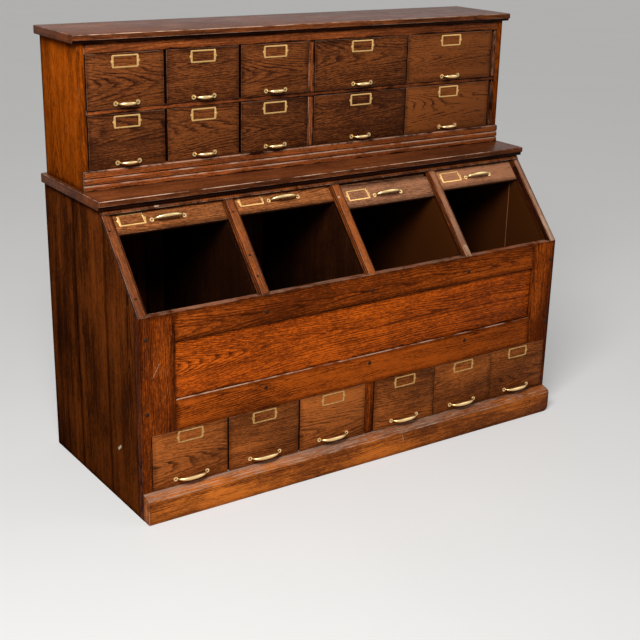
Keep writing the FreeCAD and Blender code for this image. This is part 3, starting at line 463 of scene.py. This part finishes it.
stile_scratch = ((-0.6535, -0.2655, 0.4330), (-0.6745, -0.2655, 0.3960), 0.0005)
frame_oak = oak("red-brown frame oak", (0.44, 0.084, 0.007), (0.046, 0.008, 0.0015), figure=0.6,
                bold=1.4, blotches=1.8, wear=0.5, bare=(0.44, 0.28, 0.19), gloss=0.01,
                knocks=(stile_scratch,))
PANEL_FOOT = 0.33
boards("front_frame", frame_oak, framed=True, tones=(-0.14, -0.22, -0.12, 0.18, -0.05, -0.06),
       # upward faces are rubbed bare and take a painted highlight, strongest below the panel's foot; the
       # left-facing faces take a painted shade at the corner with the side
       wear_and_highlight=lambda middle, normal: (normal.z > 0.7) * (2.5 if middle.z < PANEL_FOOT else 0.6),
       soot=lambda middle, normal: 0.5 * (normal.x < -0.9))


def only_object(name):
    """The object that an operator has just made, renamed."""
    bpy.context.object.name = name
    return bpy.context.object


def joined(*pieces):
    """Several objects made one."""
    bpy.ops.object.select_all(action="DESELECT")
    for piece in pieces:
        piece.select_set(True)
    bpy.context.view_layer.objects.active = pieces[0]
    bpy.ops.object.join()
    return pieces[0]


SLOT_WIDTH, SLOT_FLOOR, SLOT_DEPTH = 0.12, 0.25, 0.35


def slotted_screw(radius, rise):
    """A domed screw head on the XY plane, with a slot along X. The slot's half width is a share of the
    radius, and its depth a share of the rise."""
    bpy.ops.object.select_all(action="DESELECT")
    bpy.ops.mesh.primitive_uv_sphere_add(segments=16, ring_count=8, radius=radius)
    screw = only_object("screw")
    bpy.ops.object.mode_set(mode="EDIT")
    bpy.ops.transform.resize(value=(1, 1, rise / radius), center_override=(0, 0, 0))
    bpy.ops.mesh.bisect(plane_co=(0, 0, 0), plane_no=(0, 0, 1), clear_inner=True, use_fill=True)
    for side in (-1, 1):
        bpy.ops.mesh.select_all(action="SELECT")
        bpy.ops.mesh.bisect(plane_co=(0, side * radius * SLOT_WIDTH, 0), plane_no=(0, 1, 0))
    bpy.ops.mesh.select_all(action="DESELECT")
    bpy.ops.object.mode_set(mode="OBJECT")
    for face in screw.data.polygons:
        face.select = abs(face.center.y) < radius * SLOT_WIDTH and face.center.z > rise * SLOT_FLOOR
    bpy.ops.object.mode_set(mode="EDIT")
    bpy.ops.mesh.extrude_region_move(TRANSFORM_OT_translate={"value": (0, 0, -rise * SLOT_DEPTH)})
    bpy.ops.object.mode_set(mode="OBJECT")
    bpy.ops.object.shade_smooth_by_angle(angle=math.radians(40))
    return screw


def copied(piece, matrix):
    """A copy with a mesh of its own, moved there in its mesh."""
    twin = piece.copy()
    twin.data = piece.data.copy()
    twin.data.transform(matrix)
    bpy.context.scene.collection.objects.link(twin)
    return twin


def brass(name, bright, tarnished, shine):
    """Cast brass, tarnished brown near the wood and rubbed bright where fingers reach it."""
    material, shader, wire = bare_material(name, Metallic=1.0)
    place = wire.node("ShaderNodeTexCoord", output=3)
    proud = wire.node("ShaderNodeAttribute", {"attribute_name": "proud"}, output="Fac")
    cloud = place.noise(160, detail=4, roughness=0.6)
    scratches = place.stretched(1.0, 6.0, 6.0).noise(300, detail=1)
    clean = (proud * 1.1 + (cloud - 0.5) * 0.7).rise(0.0, 0.7)
    colour = clean.blend((*tarnished, 1), (*bright, 1))
    rough = 0.62 - clean * (0.62 - shine) + (scratches - 0.5) * 0.16
    bump = scratches.node("ShaderNodeBump", {}, {"Strength": 0.12, "Distance": 0.0003, "Height": cloud})
    feed(shader, Base_Color=colour, Roughness=rough, Normal=bump)
    return material


screw_brass = brass("blackened screw brass", (0.20, 0.12, 0.06), (0.045, 0.022, 0.012), 0.45)
SCREW_RADIUS, SCREW_RISE = 0.0058, 0.0024
frame_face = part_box("front_frame")[0][1]
pattern = slotted_screw(SCREW_RADIUS, SCREW_RISE)
screws = []
rail_screws = [(x, z) for z in (0.514, 0.298) for x in (-0.338, 0.009, 0.363)]
stile_screws = [(x, z) for x in (-0.6920, 0.6945) for z in (0.502, 0.300)]
for x, z in rail_screws + stile_screws:
    turn = Matrix.Rotation(9 * x + 5 * z, 4, "Z")  # no two slots stand alike
    screws.append(copied(pattern, Matrix.Translation((x, frame_face, z))
                         @ Matrix.Rotation(math.pi / 2, 4, "X") @ turn))
bpy.data.objects.remove(pattern)
screws = joined(*screws)
screws.name = "frame_screws"
screws.data.materials.clear()
screws.data.materials.append(screw_brass)
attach(screws, frame["nodes"]["front_frame"]["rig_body"])

# ---- Front panel -----------------------------------------------------------------------------------
# One wide plain-sawn board with arched figure, held in grooves round its edge. It is less worn and
# brighter than the frame.
panel_oak = oak("bright panel oak", (0.64, 0.114, 0.006), (0.080, 0.0125, 0.0015), rings=0.006, wear=0.3,
                figure=2.4, fade=0.28, bold=1.7, slant=0.08, grime_and_shade=0.9, grime_and_shade_span=(0.0165, 0.009))
# its dark edge band is partly a painted shade along the grooves of the frame that hold it
boards("front_panel", panel_oak, tones=(-0.13,))

# ---- Base moulding ---------------------------------------------------------------------------------
# A bevelled board nailed across the foot of the front. Shoes and brooms have worn its top grey, and a
# painted sheen greys its upward faces further.
plinth_scratch = ((0.1158, -0.2945, 0.0680), (0.1215, -0.2965, 0.0380), 0.0016)
nail_hole = ((0.6262, -0.2965, 0.0510), (0.6282, -0.2965, 0.0510), 0.003)
plinth_oak = oak("worn plinth oak", (0.64, 0.170, 0.022), (0.055, 0.012, 0.003), grime_and_shade=0.5, wear=0.95,
                 figure=0.4, streaks=1.5, blotches=2.4, slant=0.26, bare=(0.38, 0.23, 0.155), dust_and_sheen=0.75,
                 knocks=(plinth_scratch,), holes=(nail_hole,))
boards("plinth", plinth_oak, arris=0.0016, tones=(0.0,))

# ---- Sides and back of the lower case --------------------------------------------------------------
# Three upright planks on each side and ten behind, stained dark, their seams open in places.
side_chip = ((-0.710, -0.1390, 0.1650), (-0.710, -0.1260, 0.1540), 0.0042)
side_oak = oak("dark side oak", (0.150, 0.034, 0.005), (0.010, 0.0025, 0.0010), figure=0.5, streaks=1.3,
               blotches=2.2, grime_and_shade=0.7, wear=0.0, bare=(0.55, 0.46, 0.35), gloss=0.0,
               knocks=(side_chip,))
boards("lower_side_left", side_oak, tones=(0.17, 0.06, -0.04))
boards("lower_side_right", side_oak)
boards("lower_back", side_oak)

# ---- Bins and drawer bay ---------------------------------------------------------------------------
# The dividers, their cheeks and the floor of the bins, rough inside and painted nearly black, a painted
# shade for the depths of the bins, and the boards between the lower drawers.
cheek_line = ((0.678, -0.0775, 0.26), (0.678, -0.0775, 0.76), 0.0018, 1.0)
# a nearly black colour: the shade inside the bins and carcasses is painted into it
bin_oak = oak("sooty bin oak", (0.042, 0.0110, 0.002), (0.006, 0.0016, 0.0007), grime_and_shade=0.4, wear=0.3,
              bare=(0.22, 0.085, 0.035), polish=0.65, gloss=0.02, knocks=(cheek_line,))
boards("bin_partitions", bin_oak, grain=2,
       tones=(0.0, 0.90, -0.3, 0.0, 0.0, -0.17, 0.0, 0.0, 0.85, 0.0, 0.0))
boards("drawer_bay", bin_oak)

# ---- Strips of the slope ---------------------------------------------------------------------------
# Stepped strips screwed over the edges of the slope, and the header rail along its top. Hands have rubbed
# them grey, and a painted sheen greys their tops a little; a painted shade darkens their flanks and lower
# steps.
SLOPE = math.radians(48.5)
slope_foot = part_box("slope_strips")[0]


def on_slope(x, y, lift=0.0):
    """The point of the slope's face at X and Y, or the one so far above it."""
    return (x, y, slope_foot.z + (y - slope_foot.y) * math.tan(SLOPE) + lift)


SCREW_SPREAD, LINE_DROP, HEADER_LIFT = 0.001, 0.005, 0.003
strip_screws = [(on_slope(x - SCREW_SPREAD, y), on_slope(x + SCREW_SPREAD, y), radius)
                for x, y, radius in ((-0.7035, -0.1029, 0.0035), (-0.6985, -0.2304, 0.0035),
                                     (-0.3410, -0.1001, 0.0035), (-0.3420, -0.1870, 0.0030),
                                     (-0.3420, -0.2282, 0.0035))]
# a painted shade on the lower inner step of the right strip
inner_step_shade = (on_slope(0.6815, -0.2655, -LINE_DROP), on_slope(0.6815, -0.0900, -LINE_DROP), 0.0085)
rubbed_lines = [(on_slope(x, start), on_slope(x, end), half_width, strength)
                for x, start, end, half_width, strength in ((0.700, -0.2655, -0.2100, 0.0095, 1.00),
                                                            (0.700, -0.2100, -0.1500, 0.0085, 0.75),
                                                            (0.700, -0.1500, -0.0800, 0.0080, 0.50),
                                                            (0.361, -0.2655, -0.2450, 0.0110, 1.00),
                                                            (0.360, -0.2450, -0.0800, 0.0110, 0.40))]
chips = [(on_slope(0.0023, -0.1010), on_slope(0.0043, -0.1010), 0.0035),
         (on_slope(-0.5583, -0.0705, HEADER_LIFT), on_slope(-0.5500, -0.0705, HEADER_LIFT), 0.0030)]
strip_oak = oak("rubbed strip oak", (0.35, 0.088, 0.015), (0.045, 0.010, 0.003), figure=0.4, wear=0.6,
                bare=(0.46, 0.29, 0.19), dust_and_sheen=0.10, grime_and_shade=0.8, grime_and_shade_span=(0.006, 0.001),
                holes=[*strip_screws, inner_step_shade], knocks=[*rubbed_lines, *chips])
HEADER_FOOT, STEP_DEPTH = 0.74, 0.0025


def strip_shade(middle, normal):
    """A painted shade lies thick on the strips' flanks and thinner on their lower steps."""
    if abs(normal.x) > 0.9:
        return 0.85
    depth = (on_slope(0, middle.y)[2] - middle.z) * math.cos(SLOPE)
    return 0.5 * (middle.z < HEADER_FOOT and normal.z > 0.5 and depth > STEP_DEPTH)


boards("slope_strips", strip_oak, tilt=SLOPE, grain=1, tones=(-0.08, 0.20, 0.12, -0.10, 0.0, -0.14),
       soot=strip_shade)

# ---- Counter and cornice ---------------------------------------------------------------------------
# Level boards with a rounded and undercut front edge.
NOSING_HEIGHT = 0.014
counter_oak = oak("counter oak", (0.250, 0.068, 0.018), (0.036, 0.009, 0.003), figure=0.5, grime_and_shade=0.3,
                  wear=0.85, bare=(0.46, 0.28, 0.19), polish=0.36)
for top in ("counter_top", "cornice"):
    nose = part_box(top)[1][2] - NOSING_HEIGHT
    # below the nosing the boards take a painted shadow, and the upper front faces of the nose a painted
    # highlight in the bare colour
    boards(top, counter_oak, tones=(-0.06,), soot=lambda middle, normal: float(middle.z < nose),
           wear_and_highlight=lambda middle, normal: 1.3 * (normal.y < -0.25 and normal.z > 0.4))

# ---- Upper case ------------------------------------------------------------------------------------
# Sides, back, frame, three bands of moulding and the boards between the drawers.
upper_oak = oak("golden upper oak", (0.45, 0.088, 0.0040), (0.055, 0.010, 0.001), wear=0.2,
                gloss=0.0)
trim_oak = oak("upper trim oak", (0.420, 0.106, 0.022), (0.055, 0.013, 0.004), figure=0.4, wear=0.6,
               bare=(0.44, 0.29, 0.21), grime_and_shade=1.0, grime_and_shade_span=(0.005, 0.001))
QUIRKS, QUIRK_REACH = (0.83225, 0.84975), 0.0014  # the grooves between the moulding's bands, darkened with a painted shade
boards("upper_shell", upper_oak, tones=(0.0, 0.0))
boards("upper_frame", trim_oak, framed=True, tones=(0.0, -0.2, -0.2, -0.1, -0.1, -0.2, -0.2))
# its upward front faces take a painted highlight in the bare colour
boards("upper_moulding", trim_oak, tones=(-0.04,),
       wear_and_highlight=lambda middle, normal: float(normal.y < -0.25 and normal.z > 0.5),
       soot=lambda middle, normal: float(any(abs(middle.z - quirk) < QUIRK_REACH for quirk in QUIRKS)))
boards("upper_carcass", bin_oak)


# ---- Drawers ---------------------------------------------------------------------------------------
# Dovetailed boxes with stained fronts and raw sides, backs and bottoms. Each front has a cast brass
# pull with a swelling bow on two screwed feet, and a thin stamped holder for a card.
def rounded(piece, width, segments=2, angle=30):
    """A bevel on every edge sharper than an angle, applied."""
    bpy.context.view_layer.objects.active = piece
    bevel = piece.modifiers.new("rounded", "BEVEL")
    bevel.width, bevel.segments, bevel.angle_limit = width, segments, math.radians(angle)
    bpy.ops.object.modifier_apply(modifier=bevel.name)


def marked(piece, label, value):
    """Gives every point of a piece a number, worked out from its place."""
    layer = piece.data.attributes.new(label, "FLOAT", "POINT")
    layer.data.foreach_set("value", [value(vertex.co) for vertex in piece.data.vertices])
    return piece


FOOT_RADIUS, FOOT_THICKNESS, FOOT_SIDES = 0.0065, 0.0035, 24
DISH_DEPTH, DISH_SHARE, SCREW_SHARE, SCREW_SINK = 0.0005, 0.5, 0.42, 0.0007
NECK_RADIUS, GRIP_RADIUS, PROJECTION = 0.0022, 0.0058, 0.0240
BOW_STATIONS, BOW_SIDES, SQUARENESS, SWELL = 9, 12, 2.5, 2.4
MIDDLE_REACH, MIDDLE_MERGE = 0.0002, 0.00005


def bow(half):
    """Half a bow is extruded ring by ring from its neck to its middle and mirrored. It lies along X
    between two necks, and stands out along Z."""
    low = FOOT_THICKNESS * 0.5
    rise = PROJECTION - GRIP_RADIUS - low
    angles = [math.pi / 2 * i / BOW_STATIONS for i in range(BOW_STATIONS + 1)]
    middles = [Vector((-half * math.cos(a) ** (2 / SQUARENESS), 0,
                       low + rise * math.sin(a) ** (2 / SQUARENESS))) for a in angles]
    middles[-1].x = 0
    radii = [NECK_RADIUS + (GRIP_RADIUS - NECK_RADIUS) * math.sin(a) ** SWELL for a in angles]
    leans = [0.0]
    for before, after in zip(middles, middles[2:]):
        leans.append(math.atan2(after.x - before.x, after.z - before.z))
    leans.append(math.pi / 2)
    bpy.ops.object.select_all(action="DESELECT")
    bpy.ops.mesh.primitive_circle_add(vertices=BOW_SIDES, radius=NECK_RADIUS, fill_type="NGON",
                                      location=middles[0])
    made = only_object("bow")
    bpy.ops.object.transform_apply(location=True)
    bpy.ops.object.mode_set(mode="EDIT")
    bpy.ops.mesh.select_all(action="SELECT")
    for i in range(1, len(middles)):
        bpy.ops.mesh.extrude_region_move(TRANSFORM_OT_translate={"value": middles[i] - middles[i - 1]})
        bpy.ops.transform.rotate(value=leans[i - 1] - leans[i], orient_axis="Y",
                                 center_override=middles[i])
        growth = radii[i] / radii[i - 1]
        bpy.ops.transform.resize(value=(growth,) * 3, center_override=middles[i])
    bpy.ops.mesh.delete(type="ONLY_FACE")
    bpy.ops.object.mode_set(mode="OBJECT")
    for vertex in made.data.vertices:
        if abs(vertex.co.x) < MIDDLE_REACH:
            vertex.co.x = 0
    mirror = made.modifiers.new("other half", "MIRROR")
    mirror.merge_threshold = MIDDLE_MERGE
    bpy.ops.object.modifier_apply(modifier=mirror.name)
    bpy.ops.object.mode_set(mode="EDIT")
    bpy.ops.mesh.select_all(action="SELECT")
    bpy.ops.mesh.normals_make_consistent(inside=False)
    bpy.ops.object.mode_set(mode="OBJECT")
    bpy.ops.object.shade_smooth_by_angle(angle=math.radians(50))
    return made


def foot(x):
    """A round foot with a softened rim and a dished face."""
    bpy.ops.object.select_all(action="DESELECT")
    bpy.ops.mesh.primitive_cylinder_add(vertices=FOOT_SIDES, radius=FOOT_RADIUS, depth=FOOT_THICKNESS,
                                        location=(x, 0, FOOT_THICKNESS / 2))
    made = only_object("foot")
    bpy.ops.object.transform_apply(location=True)
    bpy.ops.object.mode_set(mode="EDIT")
    bpy.ops.mesh.select_all(action="DESELECT")
    bpy.ops.object.mode_set(mode="OBJECT")
    for face in made.data.polygons:
        face.select = face.normal.z > 0.9
    bpy.ops.object.mode_set(mode="EDIT")
    bpy.ops.mesh.inset(thickness=FOOT_RADIUS * DISH_SHARE)
    bpy.ops.transform.translate(value=(0, 0, -DISH_DEPTH))
    bpy.ops.object.mode_set(mode="OBJECT")
    rounded(made, 0.0006)
    bpy.ops.object.shade_smooth_by_angle(angle=math.radians(50))
    return made


def bow_pull(centres):
    """A bow that springs from the inner edges of two feet, with a screw in each."""
    pieces = [bow(centres / 2 - FOOT_RADIUS * 0.8)]
    half = centres / 2
    screw = slotted_screw(FOOT_RADIUS * SCREW_SHARE, 0.0010)
    for side in (-1, 1):
        turn = Matrix.Rotation(0.7 * side + centres * 9, 4, "Z")
        seat = Matrix.Translation((side * half, 0, FOOT_THICKNESS - SCREW_SINK))
        pieces += [foot(side * half), copied(screw, seat @ turn)]
    bpy.data.objects.remove(screw)
    pull = joined(*pieces)
    pull.name = "bow_pull"

    def rubbing_and_shade(place):
        """The screws are dark, the rims of the feet bright, and the bow brightest where it stands out. The
        bow's underside is darker, a painted shade.
        """
        off = math.hypot(abs(place.x) - half, place.y)
        if off < FOOT_RADIUS * 0.46:
            return 0.05
        if off < FOOT_RADIUS * 1.02 and place.z < FOOT_THICKNESS * 1.1:
            return 0.85
        # the last term darkens the underside of the bow: a painted shade
        return place.z / PROJECTION + 0.7 * min(0.0, place.y / GRIP_RADIUS + 0.25)

    return marked(pull, "proud", rubbing_and_shade)


LABEL_LENGTH, LABEL_HEIGHT, LABEL_RIM, LABEL_THICKNESS = 0.072, 0.033, 0.0038, 0.0014
EAR = (0.0025, 0.0020, 0.0058, 0.0020, 0.0025)  # how far the end stands out, from foot to head


def card_holder():
    """A flat plate with its window cut out, its ends drawn out to pointed ears, and a pin in each."""
    bpy.ops.object.select_all(action="DESELECT")
    bpy.ops.mesh.primitive_plane_add(size=LABEL_LENGTH)
    holder = only_object("card_holder")
    bpy.ops.object.mode_set(mode="EDIT")
    bpy.ops.mesh.select_all(action="SELECT")
    bpy.ops.transform.resize(value=(1, LABEL_HEIGHT / LABEL_LENGTH, 1), center_override=(0, 0, 0))
    bpy.ops.mesh.inset(thickness=LABEL_RIM)
    bpy.ops.mesh.delete(type="FACE")
    bpy.ops.object.mode_set(mode="OBJECT")
    mesh = holder.data
    for edge in mesh.edges:
        edge.select = all(abs(abs(mesh.vertices[i].co.x) - LABEL_LENGTH / 2) < 1e-5
                          for i in edge.vertices)
    bpy.ops.object.mode_set(mode="EDIT")
    bpy.ops.mesh.select_mode(type="EDGE")
    bpy.ops.mesh.subdivide(number_cuts=len(EAR))
    bpy.ops.object.mode_set(mode="OBJECT")
    for vertex in mesh.vertices:
        step = (vertex.co.y / LABEL_HEIGHT + 0.5) * (len(EAR) + 1)
        if abs(abs(vertex.co.x) - LABEL_LENGTH / 2) < 1e-5 and 0.5 < step < len(EAR) + 0.5:
            vertex.co.x += math.copysign(EAR[round(step) - 1], vertex.co.x)
    bpy.ops.object.mode_set(mode="EDIT")
    bpy.ops.mesh.select_mode(type="FACE")
    bpy.ops.mesh.select_all(action="SELECT")
    bpy.ops.mesh.extrude_region_move(TRANSFORM_OT_translate={"value": (0, 0, LABEL_THICKNESS)})
    bpy.ops.mesh.select_all(action="SELECT")
    bpy.ops.mesh.normals_make_consistent(inside=False)
    bpy.ops.object.mode_set(mode="OBJECT")
    rounded(holder, 0.0004)
    bpy.ops.object.shade_smooth_by_angle(angle=math.radians(35))
    pin = slotted_screw(0.0013, 0.0007)
    pins = [copied(pin, Matrix.Translation((side * (LABEL_LENGTH / 2 + 0.0003), 0, LABEL_THICKNESS)))
            for side in (-1, 1)]
    bpy.data.objects.remove(pin)
    return joined(holder, *pins)


pull_brass = brass("rubbed pull brass", (0.90, 0.64, 0.30), (0.12, 0.060, 0.016), 0.30)
holder_brass = brass("tarnished holder brass", (0.90, 0.55, 0.20), (0.26, 0.12, 0.032), 0.36)
wide_pull, narrow_pull, holder = bow_pull(0.094), bow_pull(0.063), card_holder()
for piece, finish in ((wide_pull, pull_brass), (narrow_pull, pull_brass), (holder, holder_brass)):
    piece.data.materials.clear()
    piece.data.materials.append(finish)


def furniture(node, pull, pull_seat, holder_seat, rubbed):
    """A pull and a card holder fixed on a drawer or a lid, in place of the node's plain ones. Rubbed
    says how bright the holder is."""
    plate = copied(holder, holder_seat)
    marked(plate, "proud", lambda place: rubbed)
    piece = joined(copied(pull, pull_seat), plate)
    piece.name = f"{node}_fittings"
    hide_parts(node)
    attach(piece, frame["nodes"][node]["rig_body"])


drawer_oak = oak("drawer front oak", (0.410, 0.111, 0.021), (0.050, 0.0128, 0.003), figure=0.6,
                 bold=1.3, blotches=1.6, grime_and_shade=0.35, wear=0.6, bare=(0.36, 0.24, 0.16))
upper_drawer_oak = oak("upper drawer front oak", (0.200, 0.056, 0.013), (0.019, 0.005, 0.002),
                       figure=1.3, fade=0.2, bold=1.5, grime_and_shade=0.45, wear=0.6, bare=(0.26, 0.15, 0.10))
raw_oak = oak("raw drawer oak", (0.47, 0.27, 0.13), (0.21, 0.105, 0.042), figure=0.3, wear=0.2,
              polish=0.6)
LOWER_TONES = (0.02, -0.18, 0.15, -0.02, -0.17, -0.03)
UPPER_TONES = (-0.14, 0.06, -0.23, -0.22, 0.34, 0.05, -0.05, 0.08, 0.0, 0.20)
outwards = Matrix.Rotation(math.pi / 2, 4, "X")
for row, finish, tones, pull, rubbed in (("lower", drawer_oak, LOWER_TONES, wide_pull, 0.32),
                                         ("upper", upper_drawer_oak, UPPER_TONES, narrow_pull, 0.6)):
    for number, tone in enumerate(tones, start=1):
        name = f"{row}_drawer_{number}"
        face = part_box(name)[0][1]
        # the ends of each front and the sides just behind it take a painted shade, in the gaps between
        # drawers
        boards(name, finish, raw_oak, tones=(tone,), soot=lambda middle, normal: float(
            abs(normal.x) > 0.9 and middle.y < face + 0.02))
        low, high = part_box(f"{name}_brass")
        centre = (low[0] + high[0]) / 2
        foot_height = min(place.co.z for place in frame["nodes"][f"{name}_brass"].data.vertices)
        furniture(f"{name}_brass", pull,
                  Matrix.Translation((centre, face, foot_height + FOOT_RADIUS)) @ outwards,
                  Matrix.Translation((centre, face, high[2] - LABEL_HEIGHT / 2)) @ outwards, rubbed)

# ---- Lids ------------------------------------------------------------------------------------------
# Each lid is a front board that slides up under the header rail and a thinner leaf that folds down
# behind it on two brass butt hinges, with steel pins in the cheeks' grooves.
# lids 3 and 4 take a greyer copy of the lid oak, and lid 4 a paler tone: a painted glare
brown_lid, glare_greyed_lid = (
    oak(name, pale, dark, figure=0.6, rings=0.0028, bold=1.5, streaks=0.7, wear=0.5)
    for name, pale, dark in (("brown lid oak", (0.400, 0.128, 0.036), (0.055, 0.017, 0.005)),
                             ("greyed lid oak", (0.400, 0.168, 0.083), (0.055, 0.022, 0.010))))
LIDS = ((-0.679, brown_lid, -0.08), (-0.321, brown_lid, 0.08),
        (0.027, glare_greyed_lid, 0.06), (0.379, glare_greyed_lid, 0.30))
HINGES = (2, 3)
LID_HEIGHT, HINGE_GAP, LID_THICKNESS = 0.067, 0.0005, 0.012
PULL_RISE, LABEL_RISE, PULL_INSET, LABEL_INSET = 0.028, 0.038, 0.151, 0.050
slope_up = Vector((0, math.cos(SLOPE), math.sin(SLOPE)))
slope_out = Vector((0, -math.sin(SLOPE), math.cos(SLOPE)))
for number, (left, lid_oak, tone) in enumerate(LIDS, start=1):
    name = f"lid_{number}"
    boards(f"{name}_board", lid_oak, tilt=SLOPE, tones=(tone,))
    boards(f"{name}_leaf", lid_oak, pull_brass, tones=(tone,))
    boards(f"{name}_brass", pull_brass, keep=HINGES, slot="brass")

    # the pull and the holder are seated from the hinge line, along the slope and square to it
    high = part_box(f"{name}_board")[1]
    pivot = Vector((0, high.y, high.z - slope_out.z * LID_THICKNESS)) + slope_up * HINGE_GAP
    seats = []
    for inset, rise in ((PULL_INSET, PULL_RISE), (LABEL_INSET, LABEL_RISE)):
        seat = pivot + slope_up * (rise - LID_HEIGHT) + slope_out * LID_THICKNESS
        seats.append(Matrix.Translation(seat + Vector((left + inset, 0, 0)))
                     @ Matrix.Rotation(SLOPE, 4, "X"))
    furniture(f"{name}_brass", wide_pull, *seats, 0.75)
for pattern in (wide_pull, narrow_pull, holder):
    bpy.data.objects.remove(pattern)
